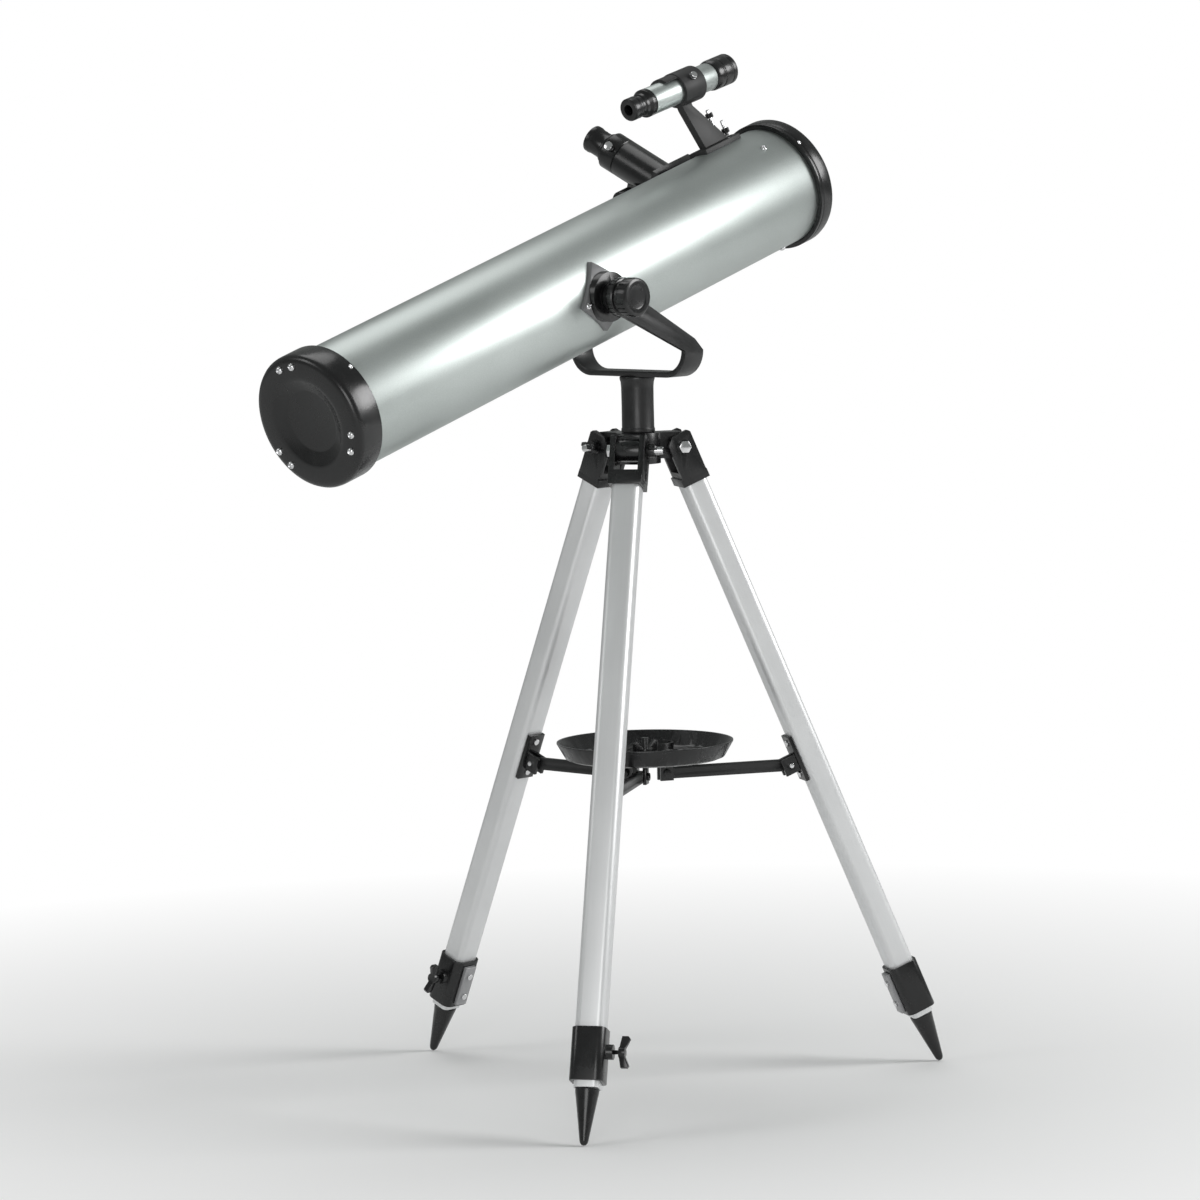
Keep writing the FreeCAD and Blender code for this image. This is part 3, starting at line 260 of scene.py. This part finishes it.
def moulded_black(name, low, high, roughness, grain=2600, grain_depth=0.00006):
    """Black moulded plastic: a fine grain, faint smears and lighter edges."""
    material, shader, place = new_finish(name)
    smears = place.noise(34, 4, 0.6).fit(0.38, 0.66)
    texture = place.noise(grain, 2)
    edges = place.node("ShaderNodeNewGeometry", out=7).fit(0.52, 0.62)
    tone = (smears * 0.5 + edges * 0.5).blend((low, low, low * 1.06, 1),
                                              (high, high, high * 1.05, 1))
    give(shader, Base_Color=tone, Roughness=roughness + 0.14 * smears,
         Normal=bumped(place, texture, 0.35, grain_depth), Coat_Weight=0.12,
         Coat_Roughness=0.12)
    return material


def plated(name, tone, roughness):
    """Bright plated steel with fine polishing marks."""
    material, shader, place = new_finish(name)
    marks = place.noise(3000, 2).fit(0.3, 0.7)
    give(shader, Base_Color=marks.blend((tone * 0.9, tone * 0.9, tone * 0.9, 1),
                                        (tone, tone, tone * 1.02, 1)),
         Metallic=1.0, Roughness=roughness + 0.1 * marks,
         Normal=bumped(place, marks, 0.1, 0.00005))
    return material


def pan_screw(radius, height, shank, length):
    """A cross-slot screw: head below Z = 0, shank along +Z."""
    screw = lathe([(0, -height), (radius * 0.5, -height * 0.96), (radius * 0.82, -height * 0.72),
                   (radius, -height * 0.3), (radius, 0), (shank, 0), (shank, length),
                   (0, length)], steps=32, ease=0.12)
    for degrees in (0, 90):
        bpy.ops.object.select_all(action="DESELECT")
        bpy.ops.mesh.primitive_cube_add(size=MM)
        slot = bpy.context.object
        slot.scale = (radius * 1.3, radius * 0.3, height * 0.9)
        slot.rotation_euler.z = math.radians(degrees)
        slot.location.z = -height * MM
        bpy.context.view_layer.update()
        hollow_out(screw, slot)
    return screw


gloss_black = moulded_black("gloss_black", 0.006, 0.014, 0.2)
bright = plated("bright_plate", 0.82, 0.12)
cap = lathe([(0, 5), (24.2, 5), (25.6, 4.7), (33.8, 0.9), (35.4, 0.2), (38, 0), (48.2, 0),
             (50.8, 0.5), (52.7, 1.8), (53.8, 3.8), (54.1, 6), (54.1, 25), (53.5, 25.6),
             (50.15, 25.6), (50.15, 8), (0, 8)], steps=144)
settle(cap, "rear_cell_cap", on_tube(REAR_FACE), gloss_black, "optical_tube", "rear_cell")

SCREW_CIRCLE = 45.5
for number, clock in enumerate((-109, 12, 131), start=1):
    for lean, body in ((-9, f"collimator_{number}"), (9, "optical_tube")):
        screw = pan_screw(3.1, 2.4, 1.5, 22 if lean < 0 else 16.9)
        seat = on_tube(REAR_FACE) @ spun(-(clock + lean)) @ moved(x=SCREW_CIRCLE) @ spun(31 * clock)
        kind = "adjusting_screw" if lean < 0 else "cell_lock_screw"
        settle(screw, f"{kind}_{number}", seat, bright, body)
        if lean < 0:
            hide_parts(f"collimation_screw_{number}")
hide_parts("cell_lock_screws")


# ----------------------------------------------------------------------------
# Mirror, its carrier, clips and springs.  The ground glass disc sits on a
# round plate inside the cell; all keep their own shapes and get finishes.
# ----------------------------------------------------------------------------
def satin_black(name, tone, roughness):
    """Flat black paint or moulding with a fine dusty speckle."""
    material, shader, place = new_finish(name)
    speckle = place.noise(2200, 3, 0.7)
    cloud = place.noise(22, 3).fit(0.3, 0.7)
    give(shader, Base_Color=(speckle * 0.5 + cloud * 0.5).blend((tone * 0.7, tone * 0.7, tone * 0.7, 1),
                                                            (tone * 1.5, tone * 1.5, tone * 1.55, 1)),
         Roughness=roughness + 0.12 * cloud, Normal=bumped(place, speckle, 0.3, 0.00008))
    return material


def mirror_silver():
    material, shader, place = new_finish("mirror_silver")
    haze = place.noise(60, 3).fit(0.4, 0.7)
    give(shader, Base_Color=haze.blend((0.93, 0.94, 0.96, 1), (0.86, 0.88, 0.9, 1)),
         Metallic=1.0, Roughness=0.02 + 0.05 * haze)
    return material


def dress(node, material):
    """Gives a CAD node that stays in view its finish."""
    part = frame["nodes"][node]
    part.data.materials.clear()
    part.data.materials.append(material)


flat_black = satin_black("flat_black", 0.02, 0.5)
mirror_finish = mirror_silver()
spring_steel = plated("spring_steel", 0.6, 0.3)
dress("primary_mirror", mirror_finish)
dress("mirror_carrier", flat_black)
dress("mirror_clips", flat_black)
dress("cell_springs", spring_steel)

# ----------------------------------------------------------------------------
# Front ring and spider.  The black ring stiffens the open end.  Three thin
# vanes inside hold the small slanted mirror on its round holder.
# ----------------------------------------------------------------------------
ring = lathe([(50.15, 0), (54.0, 0), (54.3, 0.4), (54.3, 2.4), (53.9, 2.8), (53.9, 3.4), (54.3, 3.8),
              (54.3, 13), (53.8, 14.8), (52.4, 16.1), (51.5, 16.2), (47.4, 16.2), (47.4, 14.2),
              (50.15, 14.2)], steps=160)
settle(ring, "front_ring_moulding", on_tube(272.9), gloss_black, "optical_tube", "front_ring")


def eased_copy(node, width, segments=2):
    """A copy of a CAD node with merged faces and rounded edges."""
    bpy.ops.object.select_all(action="DESELECT")
    frame["nodes"][node].select_set(True)
    bpy.context.view_layer.objects.active = frame["nodes"][node]
    bpy.ops.object.duplicate(linked=False)
    piece = bpy.context.object
    piece.parent = None
    for key in list(piece.keys()):
        del piece[key]
    bpy.ops.object.mode_set(mode="EDIT")
    bpy.ops.mesh.select_mode(type="VERT")
    bpy.ops.mesh.select_all(action="SELECT")
    bpy.ops.mesh.remove_doubles(threshold=0.00002)
    bpy.ops.mesh.dissolve_limited(angle_limit=math.radians(1.5))
    bpy.ops.object.mode_set(mode="OBJECT")
    if width:
        ease_edges(piece, width, segments, angle=38)
    return piece


def refine(node, name, width, material, body):
    """Stands an eased copy in for its CAD node."""
    piece = settle(eased_copy(node, width), name, Matrix.Identity(4), material, body, node)
    return piece


refine("spider", "spider_vanes", 0.15, flat_black, "optical_tube")
refine("secondary_holder", "small_mirror_holder", 0.3, flat_black, "optical_tube")
dress("secondary_mirror", mirror_finish)

# ----------------------------------------------------------------------------
# Screws on the tube.  Plated screws hold the spider and the two trunnion
# brackets; the finder's foot has two studs with hexagon nuts.
# ----------------------------------------------------------------------------
seats = [off_tube(246, clock) @ moved(z=50.05) @ spun(180, "X") for clock in (-32, 88, 208)]
for clock in (-90, 90):
    seats += [off_tube(0, clock) @ moved(x=side, z=54.05) @ spun(180, "X") for side in (-23, 23)]
for number, seat in enumerate(seats, start=1):
    screw = pan_screw(2.7, 1.8, 1.2, 0.3)
    settle(screw, f"tube_screw_{number}", seat @ spun(40 * number), bright, "optical_tube")
for number, (station, clock, out) in enumerate(((-271.1, -44.5, 54.15), (276.1, -46, 53.6)), 1):
    screw = pan_screw(1.9, 1.4, 0.9, 0.3)
    settle(screw, f"rim_screw_{number}", off_tube(station, clock) @ moved(z=out) @ spun(180, "X"),
           bright, "optical_tube")
foot = off_tube(214, 12)
for number, (ahead, top, nut_low) in enumerate(((21.5, 81, 74), (33, 68, 57)), start=1):
    stud = lathe([(0, 54.6), (1.6, 54.6), (1.6, top - 0.6), (1.1, top), (0, top)], steps=24, ease=0.1)
    settle(stud, f"foot_stud_{number}", foot @ moved(x=ahead), bright, "optical_tube")
    bpy.ops.object.select_all(action="DESELECT")
    bpy.ops.mesh.primitive_cylinder_add(vertices=6, radius=3.4 * MM, depth=4 * MM)
    nut = bpy.context.object
    ease_edges(nut, 0.35, 3)
    settle(nut, f"foot_nut_{number}", foot @ moved(x=ahead, z=nut_low + 2), gloss_black,
           "optical_tube")
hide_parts("tube_screws")

# ----------------------------------------------------------------------------
# Focuser.  A black housing with a saddle foot; a ribbed drawtube slides in it,
# driven by a small pinion with one turned knob, and a thumbscrew grips the
# eyepiece.
# ----------------------------------------------------------------------------
focuser = off_tube(FOCUS_STATION, FOCUS_CLOCK)
refine("focuser_housing", "focuser_body", 0.5, gloss_black, "optical_tube")
draw = eased_copy("focuser_drawtube", 0.25)
settle(draw, "focuser_slide", Matrix.Identity(4), gloss_black, "drawtube", "focuser_drawtube")


def groove(piece, wanted, thickness, depth):
    """Sinks every face that passes a test, each within its own border."""
    start_edit(piece)
    bpy.ops.mesh.select_mode(type="FACE")
    bpy.ops.mesh.select_all(action="DESELECT")
    sheet = bmesh.from_edit_mesh(piece.data)
    for face in sheet.faces:
        face.select = wanted(face.calc_center_median(), face.normal)
    bmesh.update_edit_mesh(piece.data)
    bpy.ops.mesh.inset(thickness=thickness * MM, depth=-depth * MM, use_individual=True)
    bpy.ops.mesh.select_all(action="DESELECT")
    bpy.ops.object.mode_set(mode="OBJECT")


def every_other(centre, steps):
    """True on alternate faces round the turning axis."""
    turns = math.atan2(centre.y, centre.x) / math.tau * steps
    return math.floor(turns) % 2 == 0


shaft_frame = frame_at(joints["focus_turn"]["pos_m"], tube_axis, (0, 0, 1))
refine("pinion_shaft", "pinion_and_shaft", 0.08, spring_steel, "focus_drive")
knob = lathe([(2, -29.5), (7.6, -29.5), (8.6, -29), (9, -28.2), (9, -15.6), (8.4, -14.7),
              (7.6, -14.5), (5.2, -14.5), (5, -14.2), (5, -13), (0, -13), (0, -13.4), (2, -13.4)],
             steps=64, ease=0)
groove(knob, lambda c, n: abs(c.length_squared - c.z ** 2 - (9 * MM) ** 2) < 4e-6
       and abs(n.z) < 0.2 and every_other(c, 64), 0.12, 0.35)
settle(knob, "focus_wheel", shaft_frame, gloss_black, "focus_drive", "focus_knob")
refine("eyepiece_thumbscrew", "eyepiece_clamp_screw", 0.3, bright, "eyepiece_lock")


def coated_glass(name, tint):
    """Dark lens glass with a coloured coating."""
    material, shader, place = new_finish(name)
    film = place.noise(40, 2).fit(0.3, 0.7)
    give(shader, Base_Color=film.blend((0.01, 0.012, 0.02, 1), tint), Roughness=0.03 + 0.03 * film,
         Coat_Weight=1.0, Coat_Roughness=0.02)
    return material


glass = coated_glass("coated_glass", (0.03, 0.02, 0.05, 1))
barrel = lathe([(11, 92), (12.2, 92), (12.2, 115), (13.2, 115), (13.2, 117.6), (11.3, 118.6),
                (11.1, 121), (11.1, 129.6), (11.5, 130.6), (11.7, 132), (11.5, 135), (10.7, 135.8),
                (7.5, 135.8), (6.2, 131.8), (6.2, 127.8), (11, 123.8)], steps=72, ease=0.2)
settle(barrel, "eyepiece_body", focuser, gloss_black, "eyepiece_unit", "eyepiece")
eye_lens = lathe([(0, 128.2), (6.1, 128.2), (6.1, 130.4), (4, 131), (0, 131.3)], steps=48, ease=0)
settle(eye_lens, "eyepiece_lens", focuser, glass, "eyepiece_unit")

# ----------------------------------------------------------------------------
# Finder.  A small silver telescope in one black ring on a leaning stem.  Its
# eyepiece end is ribbed, and two small knobs in the ring point it.
# ----------------------------------------------------------------------------
finder = frame_at(pivot, -Vector(joints["finder_eyepiece_slide"]["axis"]), (0, 0, 1))
finder.translation = off_tube(214, 12) @ Vector((0, 0, 106.8 * MM))
refine("finder_bracket", "finder_stem_and_ring", 0.5, flat_black, "optical_tube")
small_tube = lathe([(10.5, -40), (11.5, -40), (11.5, 36.5), (10.5, 36.5)], steps=80)
settle(small_tube, "finder_silver_tube", finder, silver, "optical_tube", "finder_tube")
hood = lathe([(9.4, 28.5), (10.4, 28.5), (10.4, 36.6), (12.1, 36.6), (12.9, 39.5), (12.9, 45), (12.5, 45.4),
              (12.5, 46.4), (12.9, 46.8), (12.9, 55), (12.6, 55.3), (12.6, 56.1), (12.9, 56.4),
              (12.9, 60.2), (12.1, 61), (10.9, 61), (10.7, 53), (9.5, 53), (9.5, 39.5)], steps=80,
             ease=0.15)
settle(hood, "finder_hood", finder, gloss_black, "optical_tube", "finder_objective")
front_lens = lathe([(0, 53.1), (10.5, 53.1), (10.5, 55), (6, 56), (0, 56.5)], steps=64, ease=0)
settle(front_lens, "finder_front_lens", finder, glass, "optical_tube")
eye_end = lathe([(7, -26), (10.4, -26), (10.4, -40.5), (11.7, -40.5), (11.7, -45), (9.4, -47),
                 (9.4, -50), (8.3, -51), (8.3, -54), (9.4, -55), (9.4, -56.5), (9, -56.9),
                 (9, -57.7), (9.4, -58.1), (9.4, -63.2), (8.6, -64), (4.5, -64), (4.5, -58),
                 (7, -54)], steps=72, ease=0.15)
groove(eye_end, lambda c, n: -45 * MM < c.z < -41 * MM and abs(n.z) < 0.2
       and c.length_squared - c.z ** 2 > (11.5 * MM) ** 2 and every_other(c, 72), 0.1, 0.3)
settle(eye_end, "finder_eye_end", finder, gloss_black, "finder_eye", "finder_eyepiece")
for number in (1, 2):
    seat = frame_at(joints[f"finder_adjuster_turn_{number}"]["pos_m"],
                    joints[f"finder_adjuster_turn_{number}"]["axis"], tube_axis)
    small_knob = lathe([(0, 11.6), (1.2, 11.6), (1.2, 15.2), (2.7, 15.2), (3, 15.6), (3, 18),
                        (2.6, 18.6), (0, 18.8)], steps=32, ease=0)
    groove(small_knob, lambda c, n: 15.6 * MM < c.z < 18 * MM and abs(n.z) < 0.2
           and every_other(c, 32), 0.06, 0.25)
    settle(small_knob, f"finder_pointing_knob_{number}", seat, bright,
           f"finder_adjuster_{number}", f"finder_screw_{number}")


# ----------------------------------------------------------------------------
# Trunnion brackets and altitude knobs.  A square pressed plate stands on its
# corner on each side of the tube; a moulded knob clamps the yoke arm to it.
# ----------------------------------------------------------------------------
def grey_casting(name, low, high, roughness):
    """Painted light-alloy casting with a fine sandy skin."""
    material, shader, place = new_finish(name)
    sand = place.noise(1500, 3, 0.6)
    cloud = place.noise(30, 3).fit(0.3, 0.7)
    give(shader, Base_Color=(sand * 0.4 + cloud * 0.5).blend((low, low, low * 1.02, 1),
                                                           (high, high, high * 1.02, 1)),
         Metallic=0.35, Roughness=roughness + 0.12 * cloud,
         Normal=bumped(place, sand, 0.25, 0.00008))
    return material


enamel = moulded_black("black_enamel", 0.008, 0.018, 0.32, grain=1300, grain_depth=0.00008)
plate_grey = grey_casting("plate_grey", 0.16, 0.26, 0.36)
for hand, side in (("right", -90), ("left", 90)):
    plate = refine(f"trunnion_bracket_{hand}", f"tube_bracket_{hand}", 0.5, plate_grey,
                   "optical_tube")
    plate.data.materials.append(gloss_black)
    seat = off_tube(0, side).inverted()
    for face in plate.data.polygons:
        spot = seat @ face.center
        around = math.hypot(spot.x, spot.y)
        if spot.z > 52 * MM and around < 20.4 * MM:
            face.material_index = 1
    grip = lathe([(0, 63.2), (12, 63.2), (12, 64.6), (15.1, 65.6), (15.5, 66.4), (15.5, 71.6),
                  (14.9, 72.4), (13.3, 73), (13.1, 73.6), (13.1, 75.2), (14.8, 76.2), (15.5, 77),
                  (15.5, 84.6), (14.9, 86.2), (13.6, 86.9), (12.4, 87), (10.2, 87), (9.4, 86.2),
                  (8.6, 86), (0, 86)], steps=96, ease=0)
    groove(grip, lambda c, n: abs(n.z) < 0.3 and (66.4 * MM < c.z < 71.6 * MM
                                              or 77 * MM < c.z < 84.6 * MM)
           and math.floor(math.atan2(c.y, c.x) / math.tau * 96) % 4 == 0, 0.1, 0.7)
    settle(grip, f"altitude_grip_{hand}", off_tube(0, side), gloss_black, f"knob_{hand}",
           f"altitude_knob_{hand}")
    stud = lathe([(0, 51.2), (3.4, 51.2), (4, 51.8), (4, 63.6), (0, 63.6)], steps=40, ease=0)
    settle(stud, f"altitude_stud_{hand}", off_tube(0, side), spring_steel, f"knob_{hand}")

# ----------------------------------------------------------------------------
# Yoke and azimuth column.  A flat strap bent to a U carries the tube and
# leans back to its pivot; it turns with the short column below it.
# ----------------------------------------------------------------------------
refine("yoke", "yoke_strap", 0.6, enamel, "mount")
column = lathe([(0, 513), (6.4, 513), (7, 513.6), (7, 537.3), (13.2, 537.3), (13.7, 537.9),
                (13.7, 540.4), (13.2, 541), (13.1, 560), (13.2, 574), (13.6, 578.5), (14.3, 580.6),
                (14.3, 582.3), (13.8, 582.9), (8, 582.9), (8, 587.2), (7.6, 587.4), (0, 587.4)],
               steps=96, ease=0.15)
settle(column, "azimuth_post", Matrix.Identity(4), enamel, "mount", "azimuth_column")

# ----------------------------------------------------------------------------
# Tripod head.  A moulded hub with three lugs; a plated bolt and a wing nut
# hold each leg to its lug.
# ----------------------------------------------------------------------------
refine("tripod_head", "tripod_hub_casting", 0.8, gloss_black, "tripod_hub")
refine("leg_pivot_bolts", "leg_bolts", 0.25, bright, "tripod_hub")
for leg in (1, 2, 3):
    refine(f"leg_wing_nut_{leg}", f"wing_nut_{leg}", 0.5, gloss_black, f"wing_nut_{leg}")


# ----------------------------------------------------------------------------
# Legs.  Each leg is a drawn aluminium channel with rounded corners and a
# smaller one that slides in it, held in a black head at the top and a collar
# with a lock knob at the bottom.
# ----------------------------------------------------------------------------
def leg_frame(number):
    """Frame at a foot: Z runs up the leg, X outwards, Y along the pivot."""
    up = -Vector(joints[f"leg_extension_{number}"]["axis"])
    across = Vector(joints[f"leg_fold_{number}"]["axis"])
    out = across.cross(up)
    hinge = Vector(joints[f"leg_fold_{number}"]["pos_m"])
    return frame_at(hinge - out * 1.5 * MM - up * 565 * MM, up, out)


def drawn_aluminium(name, place_of_leg):
    """Matt anodised metal with fine lines drawn along its length."""
    material, shader, place = new_finish(name)
    turned_by = place_of_leg.to_euler()
    along = place.node("ShaderNodeMapping", {"vector_type": "TEXTURE"},
                       {"Vector": place, "Location": place_of_leg.translation,
                        "Rotation": turned_by, "Scale": (1, 1, 60)})
    lines = along.noise(1500, 3, 0.6)
    cloud = place.noise(16, 3).fit(0.3, 0.7)
    scuffs = place.noise(260, 4, 0.7).fit(0.62, 0.74)
    tone = (lines * 0.35 + cloud * 0.4).blend((0.74, 0.745, 0.75, 1), (0.86, 0.865, 0.87, 1))
    give(shader, Base_Color=tone, Metallic=0.55,
         Roughness=0.38 + 0.12 * lines + 0.1 * scuffs,
         Normal=bumped(place, lines, 0.25, 0.0001))
    return material


def drawn_tube(depth, width, corner, wall, low, high):
    """An open rectangular tube with rounded corners, standing on Z."""
    bpy.ops.object.select_all(action="DESELECT")
    bpy.ops.mesh.primitive_plane_add(size=MM, location=(0, 0, 0))
    piece = bpy.context.object
    piece.scale = (depth, width, 1)
    bpy.ops.object.transform_apply(location=False, rotation=False, scale=True)
    bpy.ops.object.mode_set(mode="EDIT")
    bpy.ops.mesh.select_mode(type="VERT")
    bpy.ops.mesh.select_all(action="SELECT")
    bpy.ops.transform.translate(value=(0, 0, low * MM))
    bpy.ops.mesh.bevel(offset=corner * MM, segments=8, affect="VERTICES")
    bpy.ops.mesh.select_all(action="SELECT")
    bpy.ops.mesh.extrude_region_move(
        TRANSFORM_OT_translate={"value": (0, 0, (high - low) * MM)})
    bpy.ops.mesh.select_all(action="SELECT")
    bpy.ops.mesh.normals_make_consistent(inside=False)
    bpy.ops.mesh.select_mode(type="FACE")
    bpy.ops.mesh.select_all(action="DESELECT")
    sheet = bmesh.from_edit_mesh(piece.data)
    for face in sheet.faces:
        face.select = abs(face.normal.z) > 0.9
    bmesh.update_edit_mesh(piece.data)
    bpy.ops.mesh.delete(type="FACE")
    bpy.ops.object.mode_set(mode="OBJECT")
    thick = piece.modifiers.new("wall", "SOLIDIFY")
    thick.thickness = wall * MM
    thick.offset = -1
    apply_all(piece)
    ease_edges(piece, 0.2, 2, 50)
    return piece


clamp_grey = grey_casting("clamp_grey", 0.3, 0.42, 0.38)
FITTING_FINISH = {"collar": gloss_black, "clamp_plate": clamp_grey, "bracket": gloss_black,
                  "rivet": bright, "screw": bright}


def part_kind(centre, size):
    """Which fitting a loose part is, by its place and size in the leg's frame."""
    if centre.z < 100 * MM and size > 30 * MM:
        return "collar" if abs(centre.x) < 5 * MM else "clamp_plate"
    if size > 30 * MM:
        return "bracket"
    return "rivet" if centre.x < -17 * MM else "screw"


for leg in (1, 2, 3):
    body = f"leg_{leg}"
    place = leg_frame(leg)
    aluminium = drawn_aluminium(f"leg_aluminium_{leg}", place)
    channel = drawn_tube(21, 23.5, 5.5, 1.3, 60, 539)
    settle(channel, f"leg_outer_{leg}", place, aluminium, body, f"leg_channel_{leg}")
    inner = drawn_tube(17.8, 20.3, 4.2, 1.2, 41.5, 400)
    settle(inner, f"leg_inner_{leg}", place, aluminium, f"foot_{leg}", f"inner_leg_{leg}")
    shoe = lathe([(0, -3.3), (1.8, -2.8), (3, -1.3), (3.5, 0.4), (5.4, 13), (8.6, 34), (9.4, 38.6),
                  (9.5, 40.2), (9.1, 40.9), (0, 41.1)], steps=56, ease=0)
    settle(shoe, f"foot_tip_{leg}", place, gloss_black, f"foot_{leg}")
    refine(f"leg_head_{leg}", f"leg_top_{leg}", 0.6, gloss_black, body)

    fittings = eased_copy(f"leg_fittings_{leg}", 0)
    start_edit(fittings)
    bpy.ops.mesh.select_all(action="SELECT")
    bpy.ops.mesh.separate(type="LOOSE")
    bpy.ops.object.mode_set(mode="OBJECT")
    counts = {}
    for part in list(bpy.context.selected_objects):
        spots = [place.inverted() @ vertex.co for vertex in part.data.vertices]
        low = Vector([min(spot[axis] for spot in spots) for axis in range(3)])
        high = Vector([max(spot[axis] for spot in spots) for axis in range(3)])
        kind = part_kind((low + high) / 2, (high - low).z)
        counts[kind] = counts.get(kind, 0) + 1
        ease_edges(part, 0.25 if kind in ("rivet", "screw") else 0.6, 3, 38)
        label = f"leg_{kind}_{leg}_{counts[kind]}"
        settle(part, label, Matrix.Identity(4), FITTING_FINISH[kind], body)
        "bright_screw" if FITTING_FINISH[kind] == bright else "black_gloss"
        if kind == "collar":
            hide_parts(f"leg_fittings_{leg}")
    refine(f"leg_lock_knob_{leg}", f"leg_clamp_knob_{leg}", 0.7, gloss_black, f"leg_lock_{leg}")

# ----------------------------------------------------------------------------
# Spreader.  Three flat black struts join the legs to a hub under the tray;
# the hub's stud and wing nut hold the tray down.
# ----------------------------------------------------------------------------
for leg in (1, 2, 3):
    refine(f"strut_{leg}", f"spreader_strut_{leg}", 0.5, enamel, f"brace_{leg}")
refine("spreader_hub", "spreader_centre", 0.5, gloss_black, "spreader")
refine("tray_wing_nut", "tray_nut_wings", 0.6, gloss_black, "tray_nut")

# ----------------------------------------------------------------------------
# Accessory tray.  A shallow round moulded dish with three low rings that keep
# spare eyepieces from rolling.
# ----------------------------------------------------------------------------
refine("accessory_tray", "tray_dish", 0.35, gloss_black, "spreader")

# ----------------------------------------------------------------------------
# Stage: a plain pale floor, soft lights and the camera.
# ----------------------------------------------------------------------------
bpy.ops.object.select_all(action="DESELECT")
bpy.ops.mesh.primitive_plane_add(size=60)
floor = bpy.context.object
floor.name = "floor"
floor.location.z = -0.0005
paper, paper_shader, spot = new_finish("floor_paper")
give(paper_shader, Base_Color=(0.9, 0.9, 0.9, 1), Roughness=0.95, Specular_IOR_Level=0.0)
far = spot.node("ShaderNodeVectorMath", {"operation": "LENGTH"}, {0: spot}, 1).fit(0.2, 1.2)
lit = spot.node("ShaderNodeEmission", {}, {"Color": (1, 1, 1, 1), "Strength": 1.0})
seen = spot.node("ShaderNodeLightPath")
merged = spot.node("ShaderNodeMixShader", {}, {0: far * seen, 1: Wire(paper_shader.outputs[0]),
                                               2: lit})
paper.node_tree.links.new(merged.socket, paper.node_tree.nodes["Material Output"].inputs[0])
floor.data.materials.append(paper)

VIEW = Vector((0.72939, 0.67660, -0.10106))
RIGHT = Vector((0.67825, -0.73449, -0.02222))
UPWARD = Vector((0.08926, 0.05234, 0.99463))
camera_data = bpy.data.cameras.new("camera")
camera = bpy.data.objects.new("camera", camera_data)
bpy.context.scene.collection.objects.link(camera)
turned_by = Matrix((RIGHT, UPWARD, -VIEW)).transposed().to_4x4()
camera.matrix_world = Matrix.Translation((-3.203106, -2.924740, 0.841397)) @ turned_by
camera_data.sensor_width = 36
camera_data.angle = math.radians(12.802)
camera_data.clip_end = 100
bpy.context.scene.camera = camera

TARGET = Vector((0, 0, 0.5))


def soft_light(name, across, up, back, size, power):
    """A soft lamp placed against the view: across, up and towards the camera, in metres."""
    data = bpy.data.lights.new(name, "AREA")
    data.shape = "DISK"
    data.size = size
    data.energy = power
    lamp = bpy.data.objects.new(name, data)
    bpy.context.scene.collection.objects.link(lamp)
    level_right = Vector((RIGHT.x, RIGHT.y, 0)).normalized()
    level_back = Vector((-VIEW.x, -VIEW.y, 0)).normalized()
    lamp.location = TARGET + level_right * across + Vector((0, 0, up)) + level_back * back
    lamp.rotation_euler = (TARGET - lamp.location).to_track_quat("-Z", "Y").to_euler()


soft_light("right_panel", 3.3, 1.5, 0.35, 1.9, 80)
soft_light("front_panel", -0.4, 0.6, 4.2, 2.2, 40)
soft_light("left_panel", -3.0, 1.6, 1.0, 1.4, 12)
soft_light("top_panel", -0.6, 3.4, -1.2, 2.4, 24)

world = bpy.data.worlds.new("studio")
world.use_nodes = True
bpy.context.scene.world = world
backdrop = world.node_tree.nodes["Background"]
rays = Wire(world.node_tree.nodes.new("ShaderNodeLightPath").outputs["Is Camera Ray"])
shine = rays.blend((0.24, 0.25, 0.245, 1), (1, 1, 1, 1))
world.node_tree.links.new(shine.socket, backdrop.inputs["Color"])
backdrop.inputs["Strength"].default_value = 1.0
bpy.context.scene.view_settings.view_transform = "Standard"
